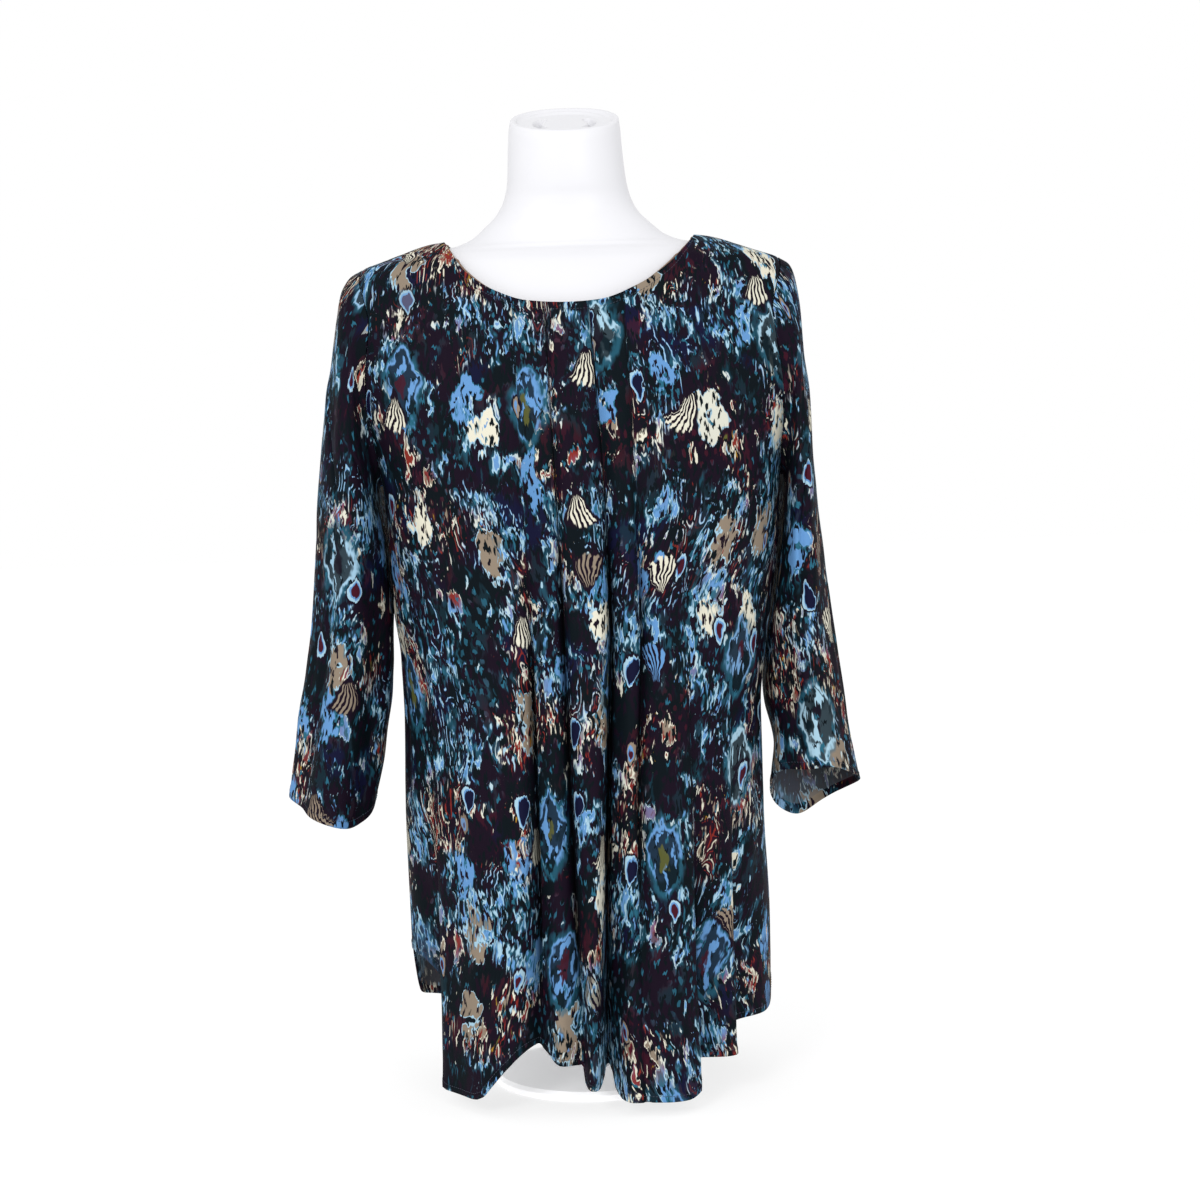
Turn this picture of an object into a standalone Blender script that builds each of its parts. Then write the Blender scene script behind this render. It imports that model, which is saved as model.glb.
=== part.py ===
"""A long tunic blouse, scoop-necked, pleated at the neck and with three-quarter sleeves, on a torso dress form.

Metres, +Z up. The wearer's front faces -Y, and +X is to the right of someone who looks at the front.
The origin is the middle of the underside of the form's base plate, on the surface that it stands on.
Each cloth piece is an open surface worked out from named sizes, and Solidify gives it its wall.
"""
import math

import bpy
import numpy as np

# Driving sizes
WALL = 0.0012               # thickness of the cloth walls
SEAM = 0.0003               # space between two pieces at a seam
SEAM_STEP = 0.0012          # how far a sleeve starts outside the armhole's edge
NECK_HALF = 0.112           # half the width of the neck opening, at the shoulder seams
TIP_HALF = 0.186            # from the middle to the shoulder tips
UNDERARM = 0.546            # height of the armholes' lowest point
ARMHOLE_DEPTH = 0.055       # half the armhole's width, seen from the side
FACING_WIDTH = 0.009        # width of the turned facing inside the neckline
FACING_EASE = 0.0008        # what the facing hangs free of the panels, over the seam's space
CUFF_SKEW = 0.4             # how much lower a cuff's slant reaches at its inner side
BASE_RADIUS = 0.092
BASE_THICK = 0.008
POST_RADIUS = 0.0125
TORSO_FOOT = 0.140          # height of the torso's underside

# How finely the pieces are divided
TOP_ROWS = 14               # from the neckline or shoulder down to the underarm
LOW_ROWS = 12               # from the underarm down to the hem
SLEEVE_ROWS = 17
FORM_SIDES = 36

FRONT, BACK = -1, 1


def smooth_curve(knots, values, at):
    """Passes through the values without overshoot: cubic pieces with limited slopes."""
    knots = np.asarray(knots, float)
    values = np.asarray(values, float)
    order = np.argsort(knots)
    knots, values = knots[order], values[order]
    gaps = np.diff(knots)
    slopes = np.diff(values) / gaps
    tangents = np.empty_like(values)
    tangents[0], tangents[-1] = slopes[0], slopes[-1]
    product = slopes[:-1] * slopes[1:]
    total = slopes[:-1] + slopes[1:]
    tangents[1:-1] = np.where(product > 0, 2 * product / np.where(total == 0, 1, total), 0)
    at = np.clip(np.asarray(at, float), knots[0], knots[-1])
    i = np.clip(np.searchsorted(knots, at) - 1, 0, len(gaps) - 1)
    t = (at - knots[i]) / gaps[i]
    return (
        values[i] * (1 + 2 * t) * (1 - t) ** 2
        + gaps[i] * tangents[i] * t * (1 - t) ** 2
        + values[i + 1] * t * t * (3 - 2 * t)
        + gaps[i] * tangents[i + 1] * t * t * (t - 1)
    )


class Table:
    """A short table with named columns. The first column is the one that the others are read by."""

    def __init__(self, names, rows):
        self.names = names.split()
        self.rows = rows
        self.columns = dict(zip(self.names, zip(*rows)))

    def at(self, name, where):
        return smooth_curve(self.columns[self.names[0]], self.columns[name], where)


# The level outline of the cloth round the body: half widths and depths at each height
BODY = Table("z left right front back power", [
    (0.7625, 0.112, 0.112, 0.052, 0.054, 2.0),
    (0.7605, 0.128, 0.128, 0.055, 0.057, 2.0),
    (0.7535, 0.150, 0.150, 0.060, 0.063, 2.1),
    (0.7465, 0.170, 0.170, 0.065, 0.068, 2.1),
    (0.7405, 0.186, 0.186, 0.068, 0.072, 2.2),
    (0.7200, 0.201, 0.199, 0.077, 0.082, 2.2),
    (0.7000, 0.204, 0.202, 0.085, 0.090, 2.2),
    (0.6600, 0.203, 0.202, 0.103, 0.098, 2.3),
    (0.6200, 0.197, 0.199, 0.119, 0.101, 2.3),
    (0.5850, 0.186, 0.191, 0.125, 0.101, 2.3),
    (0.5460, 0.1750, 0.1825, 0.125, 0.101, 2.3),
    (0.4950, 0.1715, 0.1800, 0.123, 0.101, 2.3),
    (0.4360, 0.1690, 0.1720, 0.123, 0.103, 2.3),
    (0.3900, 0.1640, 0.1655, 0.125, 0.106, 2.3),
    (0.3400, 0.1630, 0.1600, 0.128, 0.110, 2.2),
    (0.2500, 0.1650, 0.1600, 0.134, 0.117, 2.2),
    (0.1500, 0.1640, 0.1630, 0.140, 0.124, 2.1),
    (0.0100, 0.1600, 0.1600, 0.147, 0.131, 2.1),
])

# The neckline: its height at each place across
NECKLINE = {
    FRONT: Table("x z", [
        (-0.112, 0.7625), (-0.106, 0.7530), (-0.092, 0.7325), (-0.068, 0.7150), (-0.037, 0.7040), (-0.003, 0.7015),
        (0.024, 0.7030), (0.058, 0.7150), (0.086, 0.7335), (0.105, 0.7530), (0.112, 0.7625),
    ]),
    BACK: Table("x z", [
        (-0.112, 0.7625), (-0.102, 0.7580), (-0.080, 0.7500), (-0.040, 0.7420), (0.0, 0.7400),
        (0.040, 0.7420), (0.080, 0.7500), (0.102, 0.7580), (0.112, 0.7625),
    ]),
}
SHOULDER = Table("x z", [(0.112, 0.7625), (0.128, 0.7605), (0.150, 0.7535), (0.170, 0.7465), (0.186, 0.7405)])

# Lines that the columns of the panels follow: across is -1 at the left side seam and 1 at the right one,
# and the other columns give the line's distance from the middle at five heights
LEVELS = (0.70, 0.60, 0.43, 0.25, 0.04)
LINES = {
    FRONT: Table("across neck bust waist hip hem count", [
        (-0.475, -0.150, -0.143, -0.140, -0.139, -0.1415, 5),
        (-0.352, -0.112, -0.112, -0.106, -0.100, -0.098, 3),
        (-0.347, -0.1115, -0.1108, -0.105, -0.099, -0.097, 1),
        (-0.330, -0.1090, -0.1060, -0.100, -0.094, -0.093, 1),
        (-0.127, -0.051, -0.048, -0.045, -0.046, -0.054, 6),
        (-0.046, -0.024, -0.020, -0.016, -0.014, -0.010, 4),
        (0.050, 0.015, 0.021, 0.027, 0.020, 0.013, 4),
        (0.127, 0.046, 0.049, 0.054, 0.047, 0.045, 4),
        (0.279, 0.098, 0.096, 0.095, 0.096, 0.0985, 5),
        (0.330, 0.1090, 0.1070, 0.1040, 0.1030, 0.1055, 2),
        (0.347, 0.1115, 0.1108, 0.107, 0.106, 0.109, 1),
        (0.352, 0.112, 0.112, 0.108, 0.107, 0.110, 1),
        (0.451, 0.140, 0.137, 0.132, 0.131, 0.133, 3),
        (1.0, 0.186, 0.186, 0.172, 0.160, 0.160, 5),
    ]),
    BACK: Table("across neck bust waist hip hem count", [
        (-0.600, -0.152, -0.152, -0.148, -0.143, -0.141, 5),
        (-0.352, -0.112, -0.112, -0.108, -0.106, -0.104, 4),
        (-0.347, -0.1115, -0.1108, -0.107, -0.105, -0.103, 1),
        (-0.330, -0.1085, -0.1060, -0.102, -0.100, -0.098, 1),
        (-0.180, -0.062, -0.062, -0.060, -0.060, -0.060, 3),
        (0.0, 0.0, 0.0, 0.0, 0.002, 0.004, 3),
        (0.180, 0.062, 0.062, 0.060, 0.062, 0.062, 3),
        (0.330, 0.1085, 0.1060, 0.102, 0.100, 0.098, 3),
        (0.347, 0.1115, 0.1108, 0.107, 0.105, 0.103, 1),
        (0.352, 0.112, 0.112, 0.108, 0.105, 0.104, 1),
        (0.600, 0.152, 0.152, 0.148, 0.143, 0.141, 4),
        (1.0, 0.186, 0.186, 0.172, 0.160, 0.160, 5),
    ]),
}

# Folds: how deep each is at the five heights (a ridge is below zero), and its reach to the left and right
FOLDS = {
    FRONT: Table("across neck bust waist hip hem left right", [
        (-0.475, 0.0, 0.0, 0.002, 0.009, 0.024, 0.040, 0.008),
        (-0.280, 0.0, 0.0, -0.002, -0.006, -0.010, 0.034, 0.034),
        (-0.127, 0.0012, 0.003, 0.006, 0.011, 0.024, 0.009, 0.020),
        (-0.046, 0.0012, 0.003, 0.006, 0.010, 0.012, 0.016, 0.009),
        (0.002, 0.0, 0.0, -0.001, -0.003, -0.007, 0.012, 0.012),
        (0.050, 0.0015, 0.005, 0.010, 0.018, 0.032, 0.011, 0.014),
        (0.127, 0.0012, 0.0025, 0.005, 0.005, 0.001, 0.008, 0.016),
        (0.200, 0.0, 0.0, -0.002, -0.006, -0.010, 0.026, 0.026),
        (0.279, 0.0, 0.0, 0.001, 0.006, 0.020, 0.008, 0.026),
        (0.451, 0.0, 0.0, 0.0, 0.006, 0.018, 0.008, 0.030),
    ]),
    BACK: Table("across neck bust waist hip hem left right", [
        (-0.600, 0.0, 0.0, 0.003, 0.010, 0.020, 0.022, 0.030),
        (-0.400, 0.0, 0.0, -0.002, -0.006, -0.010, 0.028, 0.028),
        (-0.180, 0.0, 0.0, 0.004, 0.010, 0.018, 0.024, 0.030),
        (0.0, 0.0, 0.0, -0.002, -0.006, -0.010, 0.030, 0.030),
        (0.180, 0.0, 0.0, 0.003, 0.009, 0.020, 0.028, 0.022),
        (0.400, 0.0, 0.0, -0.002, -0.005, -0.009, 0.028, 0.028),
        (0.600, 0.0, 0.0, 0.003, 0.009, 0.018, 0.030, 0.020),
    ]),
}

# The shirt-tail hem: its height along each panel
HEM = {
    FRONT: Table("across z", [
        (-1.0, 0.125), (-0.85, 0.127), (-0.70, 0.122), (-0.60, 0.112), (-0.52, 0.098), (-0.49, 0.080),
        (-0.475, 0.045), (-0.462, 0.020), (-0.44, 0.0140), (-0.37, 0.0135), (-0.328, 0.0175), (-0.28, 0.028),
        (-0.21, 0.045), (-0.135, 0.060), (-0.107, 0.054), (-0.079, 0.0455), (-0.048, 0.044), (-0.038, 0.029),
        (-0.02, 0.0245), (0.005, 0.0245), (0.030, 0.032), (0.044, 0.039), (0.058, 0.038), (0.066, 0.020),
        (0.080, 0.0130), (0.127, 0.0120), (0.210, 0.0125), (0.245, 0.0165), (0.270, 0.026), (0.281, 0.0385),
        (0.38, 0.0385), (0.438, 0.040), (0.458, 0.062), (0.60, 0.0655), (0.80, 0.067), (1.0, 0.078),
    ]),
    BACK: Table("across z", [
        (-1.0, 0.125), (-0.93, 0.098), (-0.85, 0.076), (-0.66, 0.066), (-0.45, 0.038), (-0.20, 0.026), (0.0, 0.020),
        (0.20, 0.026), (0.45, 0.034), (0.70, 0.052), (1.0, 0.078),
    ]),
}

# Sleeves: the outer and inner side of each section (distance from the middle, height), half its depth,
# how far its middle lies in front of the seam, and how far its front is lifted over its back
SLEEVES = {
    "left": Table("along out_x out_z in_x in_z deep ahead lift", [
        (0.00, 0.186, 0.7405, 0.1750, 0.5460, 0.055, 0.000, 0.000),
        (0.05, 0.197, 0.7345, 0.1790, 0.5455, 0.058, 0.000, 0.000),
        (0.10, 0.2050, 0.722, 0.1800, 0.540, 0.061, 0.001, 0.000),
        (0.16, 0.2100, 0.700, 0.1800, 0.532, 0.064, 0.002, 0.000),
        (0.24, 0.2155, 0.668, 0.1790, 0.520, 0.067, 0.003, 0.000),
        (0.33, 0.2220, 0.632, 0.1765, 0.505, 0.068, 0.004, 0.000),
        (0.42, 0.2275, 0.590, 0.1745, 0.485, 0.068, 0.005, 0.000),
        (0.51, 0.2328, 0.545, 0.1728, 0.460, 0.066, 0.006, 0.000),
        (0.61, 0.2368, 0.495, 0.1716, 0.430, 0.063, 0.007, 0.000),
        (0.72, 0.2435, 0.425, 0.1720, 0.390, 0.060, 0.008, -0.003),
        (0.82, 0.2545, 0.363, 0.1760, 0.348, 0.057, 0.009, -0.008),
        (0.92, 0.2640, 0.309, 0.1830, 0.305, 0.055, 0.010, -0.013),
        (1.00, 0.2690, 0.272, 0.1930, 0.264, 0.053, 0.011, -0.018),
    ]),
    "right": Table("along out_x out_z in_x in_z deep ahead lift", [
        (0.00, 0.186, 0.7405, 0.1825, 0.5460, 0.055, 0.000, 0.000),
        (0.05, 0.195, 0.7345, 0.1865, 0.5455, 0.058, 0.000, 0.000),
        (0.10, 0.2005, 0.722, 0.1875, 0.540, 0.060, 0.000, 0.000),
        (0.16, 0.2040, 0.700, 0.1880, 0.532, 0.063, 0.000, 0.000),
        (0.24, 0.2062, 0.662, 0.1870, 0.520, 0.065, 0.000, 0.000),
        (0.33, 0.2110, 0.622, 0.1855, 0.504, 0.066, 0.000, 0.002),
        (0.42, 0.2125, 0.578, 0.1835, 0.484, 0.066, 0.000, 0.004),
        (0.51, 0.2150, 0.531, 0.1795, 0.458, 0.065, 0.000, 0.007),
        (0.61, 0.2205, 0.476, 0.1745, 0.425, 0.062, 0.001, 0.011),
        (0.72, 0.2270, 0.415, 0.1675, 0.385, 0.060, 0.002, 0.015),
        (0.82, 0.2350, 0.357, 0.1660, 0.350, 0.058, 0.003, 0.019),
        (0.92, 0.2410, 0.303, 0.1720, 0.308, 0.056, 0.004, 0.023),
        (1.00, 0.2485, 0.266, 0.1680, 0.266, 0.055, 0.005, 0.026),
    ]),
}

# Sleeve folds: the angle from the outer side (ahead above zero) where each starts and ends, its stretch along
# the sleeve, its depth (a ridge is below zero) and how many degrees it reaches to either side
SLEEVE_FOLDS = {
    "left": Table("start end first last depth reach", [
        (62, 40, 0.50, 1.10, 0.010, 20),
        (92, 100, 0.60, 1.15, -0.006, 30),
        (140, 128, 0.45, 1.10, 0.007, 22),
        (30, 70, 0.18, 0.52, 0.004, 18),
        (-70, -95, 0.25, 0.85, 0.006, 24),
        (-140, -120, 0.50, 1.10, 0.006, 24),
    ]),
    "right": Table("start end first last depth reach", [
        (78, 92, 0.20, 0.80, 0.007, 20),
        (125, 118, 0.45, 1.10, 0.007, 22),
        (40, 55, 0.50, 1.10, 0.004, 20),
        (-65, -90, 0.30, 0.90, 0.006, 24),
        (-135, -110, 0.45, 1.10, 0.006, 24),
    ]),
}

# The torso form: a general figure, as level rings; shift is how far a ring's middle lies behind the seam line,
# and slant how much its height rises towards the back
FORM = Table("z left right front back shift slant", [
    (0.1400, 0.070, 0.070, 0.040, 0.042, 0.000, 0.0),
    (0.1430, 0.098, 0.098, 0.056, 0.060, 0.000, 0.0),
    (0.1530, 0.124, 0.124, 0.074, 0.080, 0.000, 0.0),
    (0.1750, 0.140, 0.140, 0.086, 0.094, 0.000, 0.0),
    (0.2100, 0.1475, 0.1475, 0.092, 0.101, 0.000, 0.0),
    (0.2600, 0.1475, 0.1460, 0.094, 0.103, 0.000, 0.0),
    (0.3200, 0.1400, 0.1380, 0.090, 0.095, 0.000, 0.0),
    (0.3800, 0.1300, 0.1300, 0.083, 0.082, 0.000, 0.0),
    (0.4300, 0.1260, 0.1260, 0.081, 0.072, 0.000, 0.0),
    (0.4900, 0.1330, 0.1330, 0.091, 0.073, 0.000, 0.0),
    (0.5500, 0.1460, 0.1460, 0.107, 0.082, 0.000, 0.0),
    (0.5900, 0.1540, 0.1540, 0.114, 0.088, 0.000, 0.0),
    (0.6300, 0.1620, 0.1620, 0.108, 0.092, 0.000, 0.0),
    (0.6700, 0.1700, 0.1700, 0.090, 0.089, 0.000, 0.0),
    (0.7000, 0.1750, 0.1750, 0.075, 0.081, 0.000, 0.0),
    (0.7200, 0.1765, 0.1765, 0.067, 0.073, 0.000, 0.0),
    (0.7350, 0.1760, 0.1760, 0.060, 0.065, 0.000, 0.0),
    (0.7430, 0.1700, 0.1700, 0.055, 0.059, 0.000, 0.0),
    (0.7500, 0.1535, 0.1535, 0.048, 0.052, 0.000, 0.0),
    (0.7540, 0.1330, 0.1330, 0.042, 0.046, 0.001, 0.0),
    (0.7565, 0.1170, 0.1170, 0.039, 0.043, 0.001, 0.0),
    (0.7590, 0.1040, 0.1030, 0.038, 0.042, 0.002, 0.0),
    (0.7650, 0.0890, 0.0870, 0.039, 0.042, 0.003, 0.0),
    (0.7760, 0.0760, 0.0735, 0.042, 0.044, 0.004, 0.0),
    (0.7870, 0.0650, 0.0625, 0.041, 0.043, 0.004, 0.02),
    (0.8000, 0.0580, 0.0560, 0.041, 0.043, 0.003, 0.06),
    (0.8150, 0.0545, 0.0525, 0.042, 0.043, 0.001, 0.14),
    (0.8400, 0.0530, 0.0500, 0.043, 0.043, -0.001, 0.26),
    (0.8620, 0.0515, 0.0485, 0.043, 0.043, -0.003, 0.36),
    (0.8705, 0.0500, 0.0475, 0.042, 0.042, -0.004, 0.38),
])
FORM_POWER = 2.15
# The dished neck top: how much of the last ring's size each step keeps, and how far it lies above that ring
NECK_TOP = Table("keep rise", [(0.10, -0.0030), (0.60, -0.0028), (0.84, -0.0020), (0.92, 0.0010), (0.975, 0.0012)])


def across_profile(table, where):
    """The five heights' values of every line or fold, at the given heights."""
    names = ("neck", "bust", "waist", "hip", "hem")
    return [smooth_curve(LEVELS, [row[table.names.index(n)] for n in names], where) for row in table.rows]


def half_width(x_sign, z):
    """The cloth's half width at a height, on the left where x_sign is below zero."""
    return np.where(x_sign < 0, BODY.at("left", z), BODY.at("right", z))


def depth(side, z):
    return BODY.at("front" if side == FRONT else "back", z)


def edge_depth(z):
    """How far a panel's edge lies from the side: the armhole's oval above the underarm, and the seam below."""
    middle = (UNDERARM + SHOULDER.at("z", TIP_HALF)) / 2
    half = SHOULDER.at("z", TIP_HALF) - middle
    oval = ARMHOLE_DEPTH * np.sqrt(np.clip(1 - ((z - middle) / half) ** 2, 0, 1))
    return np.maximum(oval, SEAM / 2)


def edge_width(side, x_sign, z):
    """The distance of a panel's edge from the middle."""
    power = BODY.at("power", z)
    return half_width(x_sign, z) * (1 - (edge_depth(z) / depth(side, z)) ** power) ** (1 / power)


def column_angle(share):
    """An even spacing round the body for a share of the half width."""
    return np.sign(share) * (math.pi / 2 - np.arccos(np.clip(np.abs(share), 0, 1) ** 1.15))


def column_share(angle):
    return np.sign(angle) * np.cos(math.pi / 2 - np.abs(angle)) ** (1 / 1.15)


def panel_columns(side):
    """Where the columns lie between the lines: each line's count says how many lie between it and the last one."""
    lines = LINES[side]
    ends = [-1.0] + [row[0] for row in lines.rows]
    columns = [-1.0]
    for i, row in enumerate(lines.rows):
        steps = np.arange(1, row[-1] + 1) / row[-1]
        eased = 0.55 * steps + 0.45 * (1 - np.cos(math.pi * steps)) / 2
        columns += list(ends[i] + (ends[i + 1] - ends[i]) * eased)
    return np.array(columns)


def line_position(side, across, z):
    """How far from the middle each column lies at its height, from the lines on either side of it."""
    lines = LINES[side]
    left_edge = edge_width(side, -1, z)
    right_edge = edge_width(side, 1, z)
    knots = [-1.0] + [row[0] for row in lines.rows]
    angles = [np.full_like(z, -math.pi / 2)]
    for row, x in zip(lines.rows, across_profile(lines, z)):
        share = np.where(x < 0, x / left_edge, x / right_edge)
        angles.append(np.full_like(z, math.pi / 2) if row[0] == 1.0 else column_angle(share))
    angle = np.zeros_like(z)
    for i in range(len(knots) - 1):
        inside = (across >= knots[i]) & (across <= knots[i + 1])
        t = (across - knots[i]) / (knots[i + 1] - knots[i])
        angle = np.where(inside, angles[i] * (1 - t) + angles[i + 1] * t, angle)
    share = column_share(angle)
    return share * np.where(share < 0, left_edge, right_edge)


def top_height(side, across, x):
    """The height of the neckline, or of the shoulder seam outside it."""
    return np.where(np.abs(x) < NECK_HALF, NECKLINE[side].at("z", x), SHOULDER.at("z", np.abs(x)))


def fold_depth(side, distance, z):
    """How far the folds push the cloth in, from each point's distance to each fold's line along the row."""
    table = FOLDS[side]
    pushed = np.zeros_like(z)
    down = np.clip((0.72 - z) / 0.68, 0, 1)
    for row, deep, gap in zip(table.rows, across_profile(table, z), distance):
        left, right = row[-2], row[-1]
        reach = np.where(gap < 0, left, right) * (0.5 + 0.5 * down)
        t = np.clip(np.abs(gap) / (1.6 * reach), 0, 1)
        pushed += deep * (1 - t * t) ** 3
    return pushed


def panel_surface(side, across, top_rows=TOP_ROWS, low_rows=LOW_ROWS):
    """The front or back panel as a grid of points, a row for each level and a column for each place across."""
    guess = np.full_like(across, 0.74)
    for _ in range(6):
        guess = top_height(side, across, line_position(side, across, guess))
    hem = HEM[side].at("z", across)
    # rows go round the armhole's oval by even angles at the edges, and more evenly by height in the middle
    oval_part = (1 - np.cos(np.linspace(0, math.pi, top_rows + 1)))[:, None] / 2
    even_part = np.linspace(0, 1, top_rows + 1)[:, None] ** 1.7
    at_edge = np.abs(across[None, :]) ** 1.5
    top_part = oval_part * at_edge + even_part * (1 - at_edge)
    low_part = np.linspace(0, 1, low_rows + 1)[1:, None]
    z = np.vstack([
        guess[None, :] + (UNDERARM - guess[None, :]) * top_part,
        UNDERARM + (hem[None, :] - UNDERARM) * low_part,
    ])
    across = np.broadcast_to(across, z.shape)
    x = line_position(side, across, z)
    power = BODY.at("power", z)
    wide = half_width(x, z)
    deep = depth(side, z)
    y = deep * np.clip(1 - (np.abs(x) / wide) ** power, 0, 1) ** (1 / power)
    shoulder = np.abs(x[0]) >= NECK_HALF
    y[0] = np.where(shoulder, SEAM / 2, y[0])
    y[:, 0] = edge_depth(z[:, 0])
    y[:, -1] = edge_depth(z[:, -1])
    y = np.maximum(y, SEAM / 2)
    # the level normal of the outline, along which the folds push
    normal_x = np.sign(x) * (np.abs(x) / wide) ** (power - 1) / wide
    normal_y = (y / deep) ** (power - 1) / deep
    length = np.hypot(normal_x, normal_y)
    normal_x, normal_y = normal_x / length, normal_y / length
    run = np.concatenate([np.zeros((len(z), 1)), np.cumsum(np.hypot(np.diff(x, axis=1), np.diff(y, axis=1)), axis=1)], 1)
    distance = []
    for row in FOLDS[side].rows:
        line = np.array([np.interp(row[0], across[0], level) for level in run])
        distance.append(run - line[:, None])
    fade = 1 - np.abs(across) ** 6
    pushed = fold_depth(side, distance, z) * fade
    return np.stack([x - normal_x * pushed, side * (y - normal_y * pushed), z], axis=-1)


def armhole_ring(side_name):
    """The armhole's edge as a ring: down the front from the shoulder tip, and up the back."""
    column = 0 if side_name == "left" else -1
    front = panel_surface(FRONT, panel_columns(FRONT))[: TOP_ROWS + 1, column]
    back = panel_surface(BACK, panel_columns(BACK))[: TOP_ROWS + 1, column]
    ring = np.vstack([front, back[-2:0:-1]])
    ring[0, 1] = ring[TOP_ROWS, 1] = 0.0
    return ring


def sleeve_surface(side_name, rows=SLEEVE_ROWS):
    """A sleeve as rings from the armhole to the cuff."""
    table = SLEEVES[side_name]
    sign = -1 if side_name == "left" else 1
    ring = armhole_ring(side_name)
    angle = np.concatenate([np.linspace(0, math.pi, TOP_ROWS + 1), np.linspace(-math.pi, 0, TOP_ROWS + 1)[1:-1]])
    along = np.linspace(0, 1, rows + 1) ** 1.15
    at = {name: table.at(name, along)[:, None] for name in table.names}
    out_share = (1 + np.cos(angle)) / 2
    x = at["in_x"] + (at["out_x"] - at["in_x"]) * out_share
    z = at["in_z"] + (at["out_z"] - at["in_z"]) * out_share + at["lift"] * np.sin(angle) * (1 - CUFF_SKEW * np.cos(angle))
    y = -at["ahead"] - at["deep"] * np.sin(angle)
    points = np.stack([sign * x, y + 0 * x, z], axis=-1)
    # the seam: the first ring lies just outside the armhole's edge, and what it differs by fades down the sleeve
    step = np.stack([
        sign * (0.45 + 0.55 * out_share),
        0.3 * np.sin(angle),
        np.clip(-np.cos(angle), 0, 1),
    ], axis=-1) * SEAM_STEP
    fade = np.clip(1 - along / 0.22, 0, 1)[:, None, None] ** 2
    points = points + (ring + step - points[0])[None] * fade
    # the folds push towards the section's middle
    middle = points.mean(axis=1, keepdims=True)
    inward = middle - points
    inward[..., 2] *= 0.3
    inward /= np.linalg.norm(inward, axis=-1, keepdims=True)
    pushed = np.zeros(points.shape[:2])
    for start, end, first, last, deep, reach in SLEEVE_FOLDS[side_name].rows:
        t = np.clip((along - first) / (last - first), 0, 1)[:, None]
        line = np.radians(start + (end - start) * t)
        turn = np.abs((angle - line + math.pi) % (2 * math.pi) - math.pi) / math.radians(reach * 1.6)
        pushed += deep * np.sin(math.pi * np.clip(t, 0, 1)) ** 0.8 * np.clip(1 - turn * turn, 0, 1) ** 3
    return points + inward * pushed[..., None]


def facing_surface():
    """The strip turned to the inside of the neckline, all the way round, made from the panels' own points."""
    widths = np.array([0.04, 0.45, 1.0]) * FACING_WIDTH
    corner = np.array([[NECK_HALF + w, 0.0, SHOULDER.at("z", NECK_HALF + w)] for w in widths])
    inside = WALL + SEAM + FACING_EASE
    corner[:, 2] -= inside
    pieces = []
    for side in (FRONT, BACK):
        columns = panel_columns(side)
        grid = panel_surface(side, columns)[:5]
        open_part = np.flatnonzero(np.abs(grid[0, :, 0]) < NECK_HALF - 0.001)
        normal = np.cross(np.gradient(grid, axis=1), np.gradient(grid, axis=0)) * side
        normal /= np.linalg.norm(normal, axis=-1, keepdims=True)
        strip = []
        for c in open_part:
            along = np.concatenate([[0.0], np.cumsum(np.linalg.norm(np.diff(grid[:, c], axis=0), axis=-1))])
            point, out = (np.stack([np.interp(widths, along, a[:, c, k]) for k in range(3)], -1) for a in (grid, normal))
            strip.append(point - out * inside)
        pieces.append(np.stack(strip, axis=1))
    front, back = pieces
    mirrored = corner * np.array([-1.0, 1.0, 1.0])
    return np.concatenate([mirrored[:, None], front, corner[:, None], back[:, ::-1]], axis=1)


def form_rings():
    """The torso as level rings from its underside to the neck, and the dished top of the neck."""
    angle = np.linspace(0, 2 * math.pi, FORM_SIDES, endpoint=False)
    cosine, sine = np.cos(angle), np.sin(angle)
    keep = 2 / FORM_POWER
    round_x = np.sign(cosine) * np.abs(cosine) ** keep
    round_y = np.sign(sine) * np.abs(sine) ** keep
    rings = []
    for z, left, right, front, back, shift, slant in FORM.rows:
        x = round_x * np.where(cosine < 0, left, right)
        y = shift + round_y * np.where(sine < 0, front, back)
        rings.append(np.stack([x, y, z + slant * y], axis=-1))
    rim = rings[-1]
    middle = rim.mean(axis=0)
    for share, rise in reversed(NECK_TOP.rows):
        rings.append(middle + (rim - middle) * share + np.array([0.0, 0.0, rise]))
    return np.array(rings)


def material(name, colour, roughness):
    made = bpy.data.materials.new(name)
    made.use_nodes = True
    shader = made.node_tree.nodes["Principled BSDF"]
    shader.inputs["Base Color"].default_value = (*colour, 1.0)
    shader.inputs["Roughness"].default_value = roughness
    shader.inputs["Metallic"].default_value = 0.0
    return made


def grid_object(name, grid, collection, finish, closed_round=False, capped=False):
    """A mesh object from a grid of points; a capped one is a solid, with its first and last rings closed."""
    rows, columns = grid.shape[:2]
    last = columns if closed_round else columns - 1
    faces = []
    for r in range(rows - 1):
        for c in range(last):
            d = (c + 1) % columns
            faces.append((r * columns + c, r * columns + d, (r + 1) * columns + d, (r + 1) * columns + c))
    if capped:
        faces.append(tuple(range(columns - 1, -1, -1)))
        faces.append(tuple((rows - 1) * columns + c for c in range(columns)))
    mesh = bpy.data.meshes.new(name)
    mesh.from_pydata([tuple(p) for p in grid.reshape(-1, 3).tolist()], [], faces)
    mesh.materials.append(finish)
    mesh.shade_smooth()
    made = bpy.data.objects.new(name, mesh)
    collection.objects.link(made)
    return made


def cloth(name, grid, collection, finish, closed_round=False):
    made = grid_object(name, grid, collection, finish, closed_round)
    wall = made.modifiers.new("wall", "SOLIDIFY")
    wall.thickness = WALL
    wall.offset = 0.0
    return made


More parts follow.
